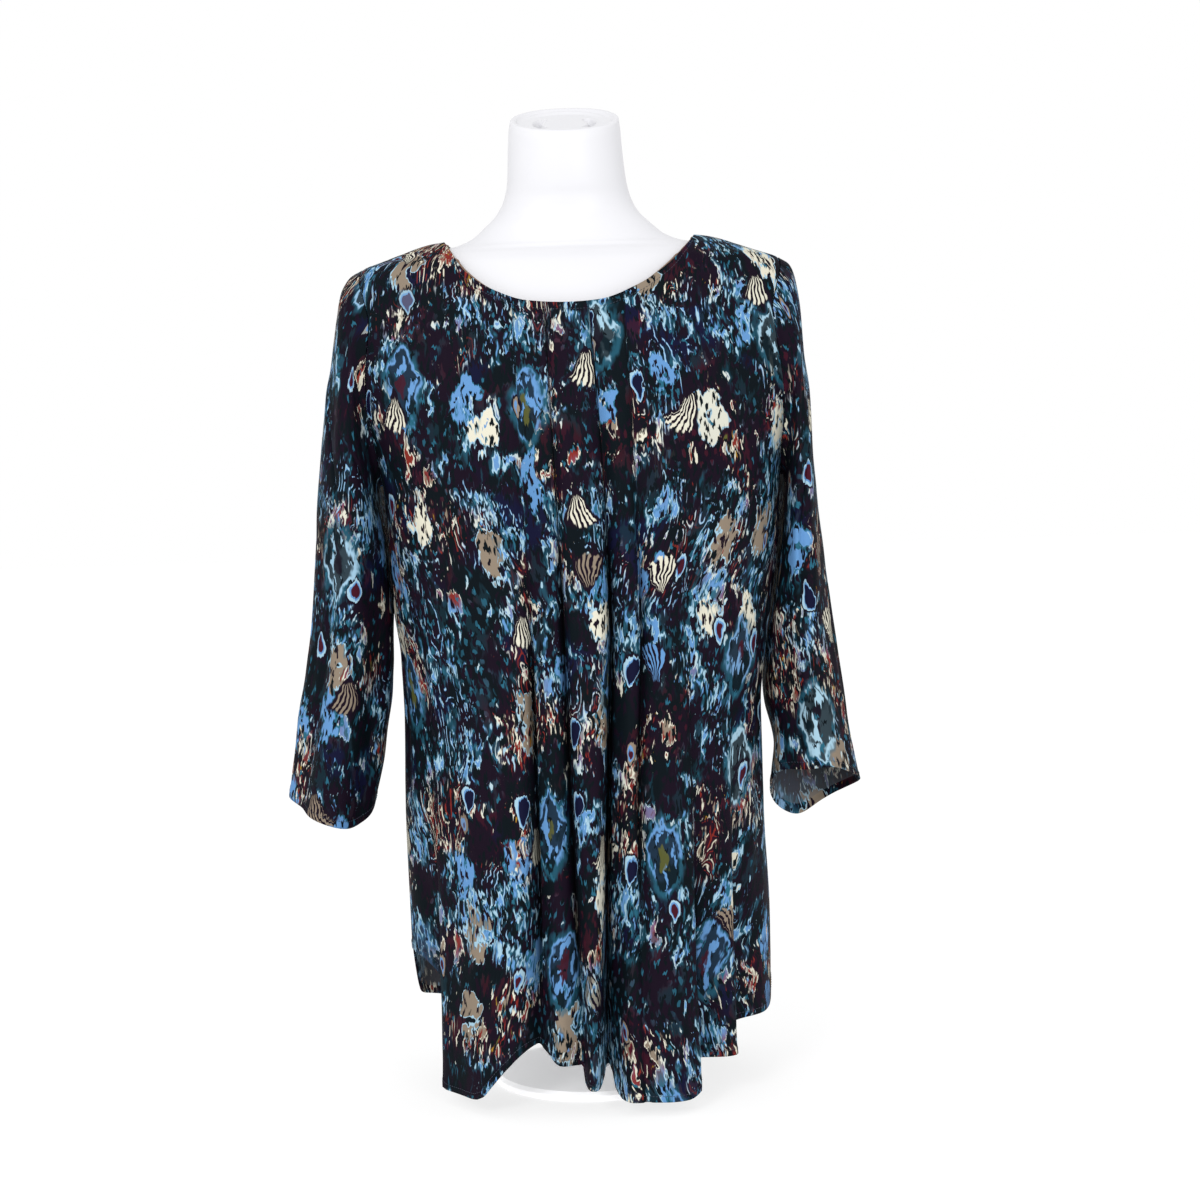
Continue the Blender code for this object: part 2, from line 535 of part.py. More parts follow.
def turned(name, profile, collection, finish, steps=48):
    """A closed turned solid: the profile runs down its outer side from the axis back to the axis."""
    mesh = bpy.data.meshes.new(name)
    edges = [(i, i + 1) for i in range(len(profile) - 1)]
    mesh.from_pydata([(r, 0.0, z) for r, z in profile], edges, [])
    mesh.materials.append(finish)
    made = bpy.data.objects.new(name, mesh)
    collection.objects.link(made)
    screw = made.modifiers.new("turn", "SCREW")
    screw.axis = "Z"
    screw.steps = screw.render_steps = steps
    screw.use_merge_vertices = True
    screw.merge_threshold = 0.00005
    return made


def main():
    for old in list(bpy.data.objects):
        bpy.data.objects.remove(old, do_unlink=True)
    collection = bpy.data.collections.new("blouse_on_torso_dress_form")
    bpy.context.scene.collection.children.link(collection)

    for name, side, colour in (("front", FRONT, (0.010, 0.022, 0.032)), ("back", BACK, (0.011, 0.020, 0.032))):
        surface = panel_surface(side, panel_columns(side))
        cloth(name, surface, collection, material(name + "_cloth", colour, 0.72))
    for name in ("left", "right"):
        finish = material(f"sleeve_{name}_cloth", (0.012, 0.020, 0.034), 0.72)
        cloth(f"sleeve_{name}", sleeve_surface(name), collection, finish, closed_round=True)
    cloth("neck_facing", facing_surface(), collection, material("facing_cloth", (0.05, 0.045, 0.05), 0.8), True)

    white = (0.86, 0.86, 0.87)
    grid_object("form_torso", form_rings(), collection, material("form_shell", white, 0.45), True, capped=True)
    post_top = TORSO_FOOT - SEAM
    post_foot = BASE_THICK + SEAM
    turned("form_post", [(0.0, post_top), (POST_RADIUS, post_top), (POST_RADIUS, post_foot), (0.0, post_foot)],
           collection, material("post_metal", (0.75, 0.76, 0.78), 0.3), steps=28)
    edge = 0.003
    turned("form_base", [
        (0.0, BASE_THICK), (BASE_RADIUS - edge, BASE_THICK), (BASE_RADIUS, BASE_THICK - edge),
        (BASE_RADIUS, 0.0), (0.0, 0.0),
    ], collection, material("base_plate", white, 0.4))


main()
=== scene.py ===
# %% [markdown]
# # A pleated blouse on a torso dress form
#
# The object is a long tunic blouse of thin printed cloth, worn by a limbless torso form on a post and a
# round plate. The front hangs from the shoulders and from a stitched scoop neck, where narrow pleats start
# that open into soft folds lower down. The hem is a shirt tail, with two long lobes in front. The lesson
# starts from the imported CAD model: each plain cloth wall there gets a finer piece here, in the same place,
# with its folds, hems, seams, stitches and print.

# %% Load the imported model
import math

import bpy
import numpy as np
from mathutils import Matrix


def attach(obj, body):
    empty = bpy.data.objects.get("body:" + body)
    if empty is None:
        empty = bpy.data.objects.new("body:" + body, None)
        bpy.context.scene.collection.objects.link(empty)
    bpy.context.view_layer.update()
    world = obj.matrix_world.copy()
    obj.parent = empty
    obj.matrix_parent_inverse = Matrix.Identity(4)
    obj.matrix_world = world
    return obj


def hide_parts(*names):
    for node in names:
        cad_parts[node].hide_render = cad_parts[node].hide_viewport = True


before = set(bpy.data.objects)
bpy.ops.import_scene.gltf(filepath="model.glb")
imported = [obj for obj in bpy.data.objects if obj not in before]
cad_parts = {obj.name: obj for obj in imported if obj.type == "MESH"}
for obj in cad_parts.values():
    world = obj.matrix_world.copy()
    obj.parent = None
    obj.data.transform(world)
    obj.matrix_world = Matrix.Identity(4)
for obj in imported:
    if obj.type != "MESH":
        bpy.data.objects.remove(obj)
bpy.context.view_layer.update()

print("CAD nodes:", sorted(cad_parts))

# %% [markdown]
# ## The camera, the light and the floor
#
# A blouse for sale is photographed from a little above its middle, from about two metres, and the picture
# here is turned by not quite two degrees. Such a camera could be placed by eye with a track-to constraint,
# but a matrix made of one move and two turns says exactly the same thing in one line, and nothing can shift
# it later.
#
# The room is a white tent: a white world gives even light from all sides, and two large soft lamps give it
# a direction, so that the folds have a lit and a shaded side.

# %% Camera
CAMERA_PLACE = (0.01727, -2.1, 0.5654)
CAMERA_DOWN = math.radians(3.5)
CAMERA_ROLL = math.radians(-1.8)
SENSOR = 36.0
FOCAL = 69.4

camera = bpy.data.objects.new("camera", bpy.data.cameras.new("camera"))
camera.data.sensor_width = SENSOR
camera.data.lens = FOCAL
camera.data.clip_end = 50.0
look = Matrix.Rotation(math.pi / 2 - CAMERA_DOWN, 4, "X") @ Matrix.Rotation(CAMERA_ROLL, 4, "Z")
camera.matrix_world = Matrix.Translation(CAMERA_PLACE) @ look
bpy.context.scene.collection.objects.link(camera)
bpy.context.scene.camera = camera
bpy.context.scene.view_settings.view_transform = "Standard"
print("camera", FOCAL, "mm at", CAMERA_PLACE)

# %% Light
world = bpy.data.worlds.new("white_tent")
world.use_nodes = True
world.node_tree.nodes["Background"].inputs["Color"].default_value = (1.0, 1.0, 1.0, 1.0)
world.node_tree.nodes["Background"].inputs["Strength"].default_value = 1.0
bpy.context.scene.world = world
LAMP_SIZE = 0.9


def soft_lamp(name, place, aim, power):
    """A square lamp that faces the point it is aimed at."""
    lamp = bpy.data.objects.new(name, bpy.data.lights.new(name, "AREA"))
    lamp.data.size = LAMP_SIZE
    lamp.data.energy = power
    x, y, z = (a - p for a, p in zip(aim, place))
    aside = Matrix.Rotation(math.atan2(-x, y), 4, "Z")
    upward = Matrix.Rotation(math.atan2(z, math.hypot(x, y)) + math.pi / 2, 4, "X")
    lamp.matrix_world = Matrix.Translation(place) @ aside @ upward
    bpy.context.scene.collection.objects.link(lamp)


soft_lamp("lamp_left", (-1.2, -2.8, 1.9), (0.0, 0.0, 0.45), 35.0)
soft_lamp("lamp_right", (1.1, -3.0, 1.0), (0.0, 0.0, 0.5), 17.0)

# %% Floor
FLOOR_REACH = 12.0


def new_piece(name, points, faces, finishes=()):
    """An object at the origin, made of these points and faces, with a material slot for each finish."""
    mesh = bpy.data.meshes.new(name)
    mesh.from_pydata(np.reshape(points, (-1, 3)).tolist(), [], faces)
    for finish in finishes:
        mesh.materials.append(finish)
    piece = bpy.data.objects.new(name, mesh)
    bpy.context.scene.collection.objects.link(piece)
    return piece


floor_corners = [(x * FLOOR_REACH, y * FLOOR_REACH, 0.0) for x, y in ((-1, -1), (1, -1), (1, 1), (-1, 1))]
floor = new_piece("floor", floor_corners, [(0, 1, 2, 3)])
print("floor", 2 * FLOOR_REACH, "m wide")

# %% [markdown]
# ## Tools for shapes
#
# A dress pattern is a list of measures at named heights, and the cloth runs smoothly from one to the next.
# A spline through the measures can bulge past them, so the curve here limits its slopes: between two
# measures it never goes above the higher or below the lower one. A small table class keeps the measures
# readable, with a name for each column. Four short functions do what nearly every piece below needs.

# %% Smooth curves and tables
def smooth_curve(knots, values, at):
    """Passes through the values without overshoot: cubic pieces with limited slopes."""
    knots = np.asarray(knots, float)
    values = np.asarray(values, float)
    order = np.argsort(knots)
    knots, values = knots[order], values[order]
    gaps = np.diff(knots)
    slopes = np.diff(values) / gaps
    tangents = np.empty_like(values)
    tangents[0], tangents[-1] = slopes[0], slopes[-1]
    product = slopes[:-1] * slopes[1:]
    total = slopes[:-1] + slopes[1:]
    tangents[1:-1] = np.where(product > 0, 2 * product / np.where(total == 0, 1, total), 0)
    at = np.clip(np.asarray(at, float), knots[0], knots[-1])
    i = np.clip(np.searchsorted(knots, at) - 1, 0, len(gaps) - 1)
    t = (at - knots[i]) / gaps[i]
    return (
        values[i] * (1 + 2 * t) * (1 - t) ** 2
        + gaps[i] * tangents[i] * t * (1 - t) ** 2
        + values[i + 1] * t * t * (3 - 2 * t)
        + gaps[i] * tangents[i + 1] * t * t * (t - 1)
    )


class Table:
    """A table of numbers, written as text, with named columns. at() reads a column along the first one."""

    def __init__(self, names, text):
        self.names = names.split()
        self.rows = np.array(text.split(), float).reshape(-1, len(self.names)).tolist()
        self.columns = dict(zip(self.names, zip(*self.rows)))

    def at(self, name, where):
        return smooth_curve(self.columns[self.names[0]], self.columns[name], where)


def unit(vectors):
    """The vectors made one long."""
    return vectors / np.linalg.norm(vectors, axis=-1, keepdims=True)


def along_line(points):
    """How far each point lies along the line through them."""
    return np.concatenate([[0.0], np.cumsum(np.linalg.norm(np.diff(points, axis=0), axis=-1))])


def between(value, start, end):
    """0 at the start, 1 at the end and even between."""
    return np.clip((value - start) / (end - start), 0, 1)


def eased(t):
    """The same from 0 to 1, with soft ends: t^2 * (3 - 2 t)."""
    return t * t * (3 - 2 * t)


print("halfway between 0 and 1:", float(smooth_curve((0, 1, 2), (0, 1, 1), 0.5)), "eased", eased(0.25))

# %% [markdown]
# ## The measures of the blouse
#
# The real blouse is four pieces: a front, a back and two sleeves, with a narrow facing turned to the inside
# of the neck. What they look like on the form is set by a few things: the outline of the cloth at each
# height, the neck and shoulder lines, the hem, and where the pleats run. These are the same measures that
# the CAD walls were made from, so the fine pieces lie exactly where the walls do.

# %% Main measures
WALL = 0.0012               # thickness of the cloth
SEAM = 0.0003               # space between two pieces at a seam
SEAM_STEP = 0.0012          # how far a sleeve starts outside the armhole's edge
NECK_HALF = 0.112           # half the width of the neck opening
TIP_HALF = 0.186            # from the middle to the shoulder tips
UNDERARM = 0.546            # height of the armholes' lowest point
ARMHOLE_DEPTH = 0.055       # half the armhole's width, seen from the side
FACING_WIDTH = 0.009
FACING_EASE = 0.0008
CUFF_SKEW = 0.4
FRONT, BACK = -1, 1

# The level outline of the cloth round the body: half widths and depths at each height
BODY = Table("z left right front back power", """
    0.7625  0.112  0.112 0.052 0.054   2
    0.7605  0.128  0.128 0.055 0.057   2
    0.7535   0.15   0.15  0.06 0.063 2.1
    0.7465   0.17   0.17 0.065 0.068 2.1
    0.7405  0.186  0.186 0.068 0.072 2.2
      0.72  0.201  0.199 0.077 0.082 2.2
       0.7  0.204  0.202 0.085  0.09 2.2
      0.66  0.203  0.202 0.103 0.098 2.3
      0.62  0.197  0.199 0.119 0.101 2.3
     0.585  0.186  0.191 0.125 0.101 2.3
     0.546  0.175 0.1825 0.125 0.101 2.3
     0.495 0.1715   0.18 0.123 0.101 2.3
     0.436  0.169  0.172 0.123 0.103 2.3
      0.39  0.164 0.1655 0.125 0.106 2.3
      0.34  0.163   0.16 0.128  0.11 2.2
      0.25  0.165   0.16 0.134 0.117 2.2
      0.15  0.164  0.163  0.14 0.124 2.1
      0.01   0.16   0.16 0.147 0.131 2.1
""")

# The neckline: its height at each place across
NECKLINE = {
    FRONT: Table("x z", """
        -0.112 0.7625   -0.106 0.753   -0.092 0.7325   -0.068 0.715   -0.037 0.704   -0.003 0.7015
        0.024 0.703   0.058 0.715   0.086 0.7335   0.105 0.753   0.112 0.7625
    """),
    BACK: Table("x z", """
        -0.112 0.7625   -0.102 0.758   -0.08 0.75   -0.04 0.742   0 0.74   0.04 0.742   0.08 0.75
        0.102 0.758   0.112 0.7625
    """),
}
SHOULDER = Table("x z", """
    0.112 0.7625   0.128 0.7605   0.15 0.7535   0.17 0.7465   0.186 0.7405
""")
print("widest level outline:", max(BODY.columns["left"]) + max(BODY.columns["right"]), "m")

# %% [markdown]
# ## Where the folds run
#
# A fold could be pushed into a finished mesh afterwards, but then the mesh's columns cross it at a slant
# and its edge turns to steps. Here the columns follow the folds from the start: each line of a table says
# how far from the middle one column lies at five heights, and how many columns lie between it and the line
# before it. A second table gives the folds on those lines, with their depth at the same heights.

# %% Lines, folds and hem
# Lines that the columns of the panels follow: across is -1 at the left side seam and 1 at the right one,
# and the other columns give the line's distance from the middle at five heights
LEVELS = (0.70, 0.60, 0.43, 0.25, 0.04)
LINES = {
    FRONT: Table("across neck bust waist hip hem count", """
        -0.475   -0.15  -0.143  -0.14 -0.139 -0.1415 5
        -0.352  -0.112  -0.112 -0.106   -0.1  -0.098 3
        -0.347 -0.1115 -0.1108 -0.105 -0.099  -0.097 1
         -0.33  -0.109  -0.106   -0.1 -0.094  -0.093 1
        -0.127  -0.051  -0.048 -0.045 -0.046  -0.054 6
        -0.046  -0.024   -0.02 -0.016 -0.014   -0.01 4
          0.05   0.015   0.021  0.027   0.02   0.013 4
         0.127   0.046   0.049  0.054  0.047   0.045 4
         0.279   0.098   0.096  0.095  0.096  0.0985 5
          0.33   0.109   0.107  0.104  0.103  0.1055 2
         0.347  0.1115  0.1108  0.107  0.106   0.109 1
         0.352   0.112   0.112  0.108  0.107    0.11 1
         0.451    0.14   0.137  0.132  0.131   0.133 3
             1   0.186   0.186  0.172   0.16    0.16 5
    """),
    BACK: Table("across neck bust waist hip hem count", """
          -0.6  -0.152  -0.152 -0.148 -0.143 -0.141 5
        -0.352  -0.112  -0.112 -0.108 -0.106 -0.104 4
        -0.347 -0.1115 -0.1108 -0.107 -0.105 -0.103 1
         -0.33 -0.1085  -0.106 -0.102   -0.1 -0.098 1
         -0.18  -0.062  -0.062  -0.06  -0.06  -0.06 3
             0       0       0      0  0.002  0.004 3
          0.18   0.062   0.062   0.06  0.062  0.062 3
          0.33  0.1085   0.106  0.102    0.1  0.098 3
         0.347  0.1115  0.1108  0.107  0.105  0.103 1
         0.352   0.112   0.112  0.108  0.105  0.104 1
           0.6   0.152   0.152  0.148  0.143  0.141 4
             1   0.186   0.186  0.172   0.16   0.16 5
    """),
}

# Folds: how deep each is at the five heights (a ridge is below zero), and its reach to the left and right
FOLDS = {
    FRONT: Table("across neck bust waist hip hem left right", """
        -0.475      0      0  0.002  0.009  0.024  0.04 0.008
         -0.28      0      0 -0.002 -0.006  -0.01 0.034 0.034
        -0.127 0.0012  0.003  0.006  0.011  0.024 0.009  0.02
        -0.046 0.0012  0.003  0.006   0.01  0.012 0.016 0.009
         0.002      0      0 -0.001 -0.003 -0.007 0.012 0.012
          0.05 0.0015  0.005   0.01  0.018  0.032 0.011 0.014
         0.127 0.0012 0.0025  0.005  0.005  0.001 0.008 0.016
           0.2      0      0 -0.002 -0.006  -0.01 0.026 0.026
         0.279      0      0  0.001  0.006   0.02 0.008 0.026
         0.451      0      0      0  0.006  0.018 0.008  0.03
    """),
    BACK: Table("across neck bust waist hip hem left right", """
         -0.6 0 0  0.003   0.01   0.02 0.022  0.03
         -0.4 0 0 -0.002 -0.006  -0.01 0.028 0.028
        -0.18 0 0  0.004   0.01  0.018 0.024  0.03
            0 0 0 -0.002 -0.006  -0.01  0.03  0.03
         0.18 0 0  0.003  0.009   0.02 0.028 0.022
          0.4 0 0 -0.002 -0.005 -0.009 0.028 0.028
          0.6 0 0  0.003  0.009  0.018  0.03  0.02
    """),
}

# The shirt-tail hem: its height along each panel
HEM = {
    FRONT: Table("across z", """
        -1 0.125   -0.85 0.127   -0.7 0.122   -0.6 0.112   -0.52 0.098   -0.49 0.08   -0.475 0.045
        -0.462 0.02   -0.44 0.014   -0.37 0.0135   -0.328 0.0175   -0.28 0.028   -0.21 0.045
        -0.135 0.06   -0.107 0.054   -0.079 0.0455   -0.048 0.044   -0.038 0.029   -0.02 0.0245
        0.005 0.0245   0.03 0.032   0.044 0.039   0.058 0.038   0.066 0.02   0.08 0.013   0.127 0.012
        0.21 0.0125   0.245 0.0165   0.27 0.026   0.281 0.0385   0.38 0.0385   0.438 0.04   0.458 0.062
        0.6 0.0655   0.8 0.067   1 0.078
    """),
    BACK: Table("across z", """
        -1 0.125   -0.93 0.098   -0.85 0.076   -0.66 0.066   -0.45 0.038   -0.2 0.026   0 0.02
        0.2 0.026   0.45 0.034   0.7 0.052   1 0.078
    """),
}
for side in (FRONT, BACK):
    print(side, "has", len(LINES[side].rows), "lines and", len(FOLDS[side].rows), "folds")

# %% [markdown]
# ## Pleats and creases
#
# Thin rayon falls in three sizes of fold. The large ones are in the tables above. Between them come the
# pleats' crisp edges: at the neck each pleat is stitched flat, so its edge is a step as thin as the cloth,
# with a centimetre of cloth tucked out of sight behind it, and lower down it opens. Last come creases that
# are only a millimetre or two deep, where the cloth has been packed or pulls at the armholes. Sculpting or
# a simulation would make them too, but a table of lines can be read, moved and mended.

# %% Pleats and creases
# In the pleats' table, line says how dark the painted shade along each pleat's edge is
PLEATS = {
    FRONT: Table("across top end step reach tuck slot line", """
        -0.127  0.48 0.05 0.0016 0.008 0.005  0.01  0.3
        -0.046 0.697 0.08 0.0034  0.01 0.012 0.008 0.95
          0.05 0.697 0.01 0.0036 0.012 0.014 0.012    1
         0.127   0.7 0.15 0.0016 0.008 0.007 0.007 0.35
         0.279  0.23 0.01 0.0022  0.01     0 0.007  0.5
        -0.475   0.3 0.02 0.0016  0.01     0 0.002 0.25
    """),
    BACK: Table("across top end step reach tuck slot line", """
        -0.18 0.33 0.03 0.0014 0.012 0 0.003 0.3
         0.18  0.3 0.03 0.0014 0.012 0 0.003 0.3
    """),
}
# Creases: both ends as distance from the middle along the cloth and height, depth, and reach to each side
CREASES = {
    FRONT: Table("x0 z0 x1 z1 depth left right", """
         -0.12  0.62  -0.16   0.3  0.002 0.016  0.01
         0.122   0.6  0.138  0.24 0.0022 0.011 0.018
        -0.196  0.64 -0.085 0.545  0.002 0.012 0.012
           0.2  0.63  0.095  0.55 0.0018  0.01 0.014
        -0.188 0.575  -0.12   0.5 0.0016 0.008  0.01
          0.19  0.58   0.14  0.48 0.0018  0.01 0.008
        -0.088  0.42 -0.112  0.04  0.003 0.012 0.017
         0.078  0.44  0.082  0.04 0.0024 0.012 0.012
        -0.192  0.48 -0.176  0.15 0.0026 0.013  0.01
         0.196   0.5  0.172  0.11 0.0026  0.01 0.014
         -0.21  0.53  -0.16   0.4 0.0018 0.009 0.009
         0.212  0.52   0.18  0.37 0.0018 0.009 0.009
        -0.034  0.43 -0.026  0.08 0.0014 0.006 0.008
         0.034  0.56  0.036  0.24 0.0013 0.006 0.007
          0.06   0.7  0.072  0.52  0.001 0.007 0.009
        -0.076   0.7 -0.082  0.54 0.0011 0.009 0.007
         -0.15  0.33  -0.06   0.3 0.0009 0.009 0.009
          0.07 0.345   0.16 0.325 0.0009 0.009 0.009
         -0.13 0.735  -0.17  0.64 0.0012 0.012  0.01
         0.132 0.735  0.172  0.63 0.0013  0.01 0.012
          0.11   0.2  0.118 0.045 0.0022  0.01 0.009
    """),
    BACK: Table("x0 z0 x1 z1 depth left right", """
        -0.06   0.7 -0.075  0.35 0.0022 0.015 0.015
         0.06  0.69  0.078  0.33 0.0024 0.015 0.013
        -0.13  0.56  -0.12   0.1 0.0028 0.013 0.018
        0.132  0.58  0.118  0.11 0.0028 0.018 0.013
            0  0.62  0.006  0.12  0.002 0.014 0.012
        -0.19  0.64  -0.08  0.56  0.002 0.014 0.012
         0.19 0.635  0.085  0.55  0.002 0.012 0.014
        -0.18  0.58  -0.12  0.49 0.0016 0.009  0.01
        0.182 0.575  0.125  0.48 0.0018  0.01 0.009
        -0.12  0.48   0.09 0.455 0.0012 0.011 0.011
        -0.08  0.43   0.13 0.445 0.0012  0.01  0.01
        -0.03  0.35 -0.036  0.06 0.0018 0.009 0.009
          0.2  0.47   0.18  0.15 0.0022  0.01 0.012
         -0.2  0.46  -0.18  0.17 0.0022 0.012  0.01
    """),
}


CREASE_BOW = 0.06           # how far a crease may bow sideways, as a share of its length


def crease_depth(table, x, z):
    """How far the creases push in. Each has a place s along its line and a distance g from it; the push
    is depth * sin(pi s)^0.7 * (1 - (g / reach)^2)^2, with its own reach on either side."""
    pushed = np.zeros_like(z)
    for x0, z0, x1, z1, deep, left, right in table.rows:
        length = math.hypot(x1 - x0, z1 - z0)
        step_x, step_z = (x1 - x0) / length, (z1 - z0) / length
        s = np.clip(((x - x0) * step_x + (z - z0) * step_z) / length, 0, 1)
        bow = CREASE_BOW * length * np.sin(math.pi * s) * np.sin(37.0 * x0 + 11.0 * z0)
        gap = (x - x0) * -step_z + (z - z0) * step_x - bow
        reach = np.where(gap < 0, left, right)
        pushed += deep * np.sin(math.pi * s) ** 0.7 * np.clip(1 - (gap / reach) ** 2, 0, 1) ** 2
    return pushed


def slack(x, z, seed):
    """The cloth is never quite even: a sum of slow waves along and across it, half a millimetre high."""
    wave = np.sin(61 * x + 9 * np.sin(13 * z + seed)) * np.sin(23 * z + 2.1 * seed)
    finer = np.sin(117 * x - 5 * np.sin(29 * z - seed) + seed) * np.sin(41 * z - seed)
    return 0.00035 * wave + 0.00018 * finer


print("pleats:", len(PLEATS[FRONT].rows), "creases:", sum(len(t.rows) for t in CREASES.values()))

# %% [markdown]
# ## The front and the back
#
# Each panel is one grid. A row lies on the outline of the cloth at its height, a superellipse between a
# circle and a rounded box, and a column follows a fold from the neck to the hem. The last few rows stay
# close together in a band six millimetres wide: that is the narrow turned hem, twice as thick as the rest.
#
# Printed cloth carries its pattern into the folds. So every point also gets its place in the flat, uncut
# cloth, measured along the rows and columns, and the print is read from that place and not from the room
# around it.

# %% Panel functions
TOP_ROWS = 64
LOW_ROWS = 122
FINER = {FRONT: 4, BACK: 5}
HEM_WIDTH = 0.006
HEM_STEPS = np.array([1.45, 1.12, 1.0, 0.86, 0.55, 0.25, 0.0]) * HEM_WIDTH
HEM_SWELL = 0.0004 * np.array([0.3, 0.9, 1.0, 1.0, 1.0, 0.9])[:, None]
HEM_ROWS = 5                # squares of the grid that the turned hem covers
SPREAD = 1.15               # above 1, columns crowd a little towards the sides
FOLD_TOP, FOLD_RUN = 0.72, 0.68         # where a fold has half its reach, and how far below it has all
FOLD_FLANK = 1.6                        # a fold ends at so many times its reach
PLEAT_EDGE = 0.0016                     # width over which a pleat's step falls
STEP_IN, STEP_OUT = 0.004, 0.04         # over what height the step starts and ends
OPEN_BELOW = 0.56                       # height under which a pleat opens
OPEN_IN, OPEN_OUT = 0.12, 0.10          # over what height the slot starts and ends
OPEN_WIDE, OPEN_WIDER = 0.0030, 0.0012  # half the slot's width, and how much wider it gets
BELOW_SEAM = 0.03                       # how far under the top edge the creases have their full depth


def across_profile(table, where):
    """The five heights' values of every line or fold, at the given heights."""
    names = ("neck", "bust", "waist", "hip", "hem")
    return [smooth_curve(LEVELS, [row[table.names.index(n)] for n in names], where) for row in table.rows]


def half_width(x_sign, z):
    """The cloth's half width at a height, on the left where x_sign is below zero."""
    return np.where(x_sign < 0, BODY.at("left", z), BODY.at("right", z))


def depth(side, z):
    """How deep the front or the back is in the middle, at a height."""
    return BODY.at("front" if side == FRONT else "back", z)


def edge_depth(z):
    """How far a panel's edge lies from the side: the armhole's oval, and the seam below the underarm."""
    middle = (UNDERARM + SHOULDER.at("z", TIP_HALF)) / 2
    half = SHOULDER.at("z", TIP_HALF) - middle
    oval = ARMHOLE_DEPTH * np.sqrt(np.clip(1 - ((z - middle) / half) ** 2, 0, 1))
    return np.maximum(oval, SEAM / 2)


def edge_width(side, x_sign, z):
    """The distance of a panel's edge from the middle."""
    power = BODY.at("power", z)
    return half_width(x_sign, z) * (1 - (edge_depth(z) / depth(side, z)) ** power) ** (1 / power)


def column_angle(share):
    """An even spacing round the body for a share of the half width."""
    return np.sign(share) * (math.pi / 2 - np.arccos(np.clip(np.abs(share), 0, 1) ** SPREAD))


def column_share(angle):
    """The share of the half width that an angle stands for."""
    return np.sign(angle) * np.cos(math.pi / 2 - np.abs(angle)) ** (1 / SPREAD)


def panel_columns(side):
    """Where the columns lie: each line's count says how many lie between it and the line before it."""
    lines = LINES[side]
    ends = [-1.0] + [row[0] for row in lines.rows]
    columns = [-1.0]
    for i, row in enumerate(lines.rows):
        steps = np.arange(1, row[-1] * FINER[side] + 1) / (row[-1] * FINER[side])
        closer = 0.55 * steps + 0.45 * (1 - np.cos(math.pi * steps)) / 2
        columns += list(ends[i] + (ends[i + 1] - ends[i]) * closer)
    return np.array(columns)


def line_position(side, across, z):
    """How far from the middle each column lies at its height, from the lines on either side of it."""
    lines = LINES[side]
    left_edge = edge_width(side, -1, z)
    right_edge = edge_width(side, 1, z)
    knots = [-1.0] + [row[0] for row in lines.rows]
    angles = [np.full_like(z, -math.pi / 2)]
    for row, x in zip(lines.rows, across_profile(lines, z)):
        share = np.where(x < 0, x / left_edge, x / right_edge)
        angles.append(np.full_like(z, math.pi / 2) if row[0] == 1.0 else column_angle(share))
    angle = np.zeros_like(z)
    for i in range(len(knots) - 1):
        inside = (across >= knots[i]) & (across <= knots[i + 1])
        t = (across - knots[i]) / (knots[i + 1] - knots[i])
        angle = np.where(inside, angles[i] * (1 - t) + angles[i + 1] * t, angle)
    share = column_share(angle)
    return share * np.where(share < 0, left_edge, right_edge)


def top_height(side, x):
    """The height of the neckline, or of the shoulder seam outside it."""
    return np.where(np.abs(x) < NECK_HALF, NECKLINE[side].at("z", x), SHOULDER.at("z", np.abs(x)))


def fold_depth(side, distance, z):
    """How far the folds push the cloth in, from each point's distance to each fold's line along the row."""
    table = FOLDS[side]
    pushed = np.zeros_like(z)
    down = np.clip((FOLD_TOP - z) / FOLD_RUN, 0, 1)
    for row, deep, gap in zip(table.rows, across_profile(table, z), distance):
        left, right = row[-2], row[-1]
        reach = np.where(gap < 0, left, right) * (0.5 + 0.5 * down)
        t = np.clip(np.abs(gap) / (FOLD_FLANK * reach), 0, 1)
        pushed += deep * (1 - t * t) ** 3
    return pushed


def pleat_step(side, distance, z):
    """A pleat's crisp edge: nothing on one side of its line, a sudden step down on the other, easing back
    over its reach. Lower down the pleat opens to a narrow slot, slot * (1 - (gap / width)^4). Also gives
    the cloth that the pleat hides, which the print skips, and painted shade on the line, from 0 to 1."""
    pushed, hidden, painted_shade = np.zeros_like(z), np.zeros_like(z), np.zeros_like(z)
    for across, top, end, step, reach, tuck, slot, line in PLEATS[side].rows:
        gap = distance[across]
        down = between(z, top, end)
        shown = np.clip((top - z) / STEP_IN, 0, 1) * np.clip((z - end) / STEP_OUT, 0, 1)
        wider = reach * (1 + 1.2 * down)
        edge = np.clip(gap / PLEAT_EDGE + 0.5, 0, 1)
        pushed += step * shown * eased(edge) * np.clip(1 - np.abs(gap) / wider, 0, 1) ** 1.5
        opened = np.clip((min(top, OPEN_BELOW) - z) / OPEN_IN, 0, 1) ** 1.5
        opened = opened * np.clip((z - end) / OPEN_OUT, 0.35, 1)
        width = OPEN_WIDE + OPEN_WIDER * down
        pushed += slot * opened * np.clip(1 - (gap / width) ** 4, 0, 1)
        hidden += tuck * (1 - down) ** 1.5 * edge
        # painted shade along the pleat's line: thin at the top, wider and darker where the slot opens
        thin = 0.0009 + slot * 0.22 * opened
        strong = np.clip(line + 60 * slot * opened, 0, 1)
        painted_shade = np.maximum(painted_shade, strong * shown * np.exp(-(gap / thin) ** 2))
    return pushed, hidden, painted_shade


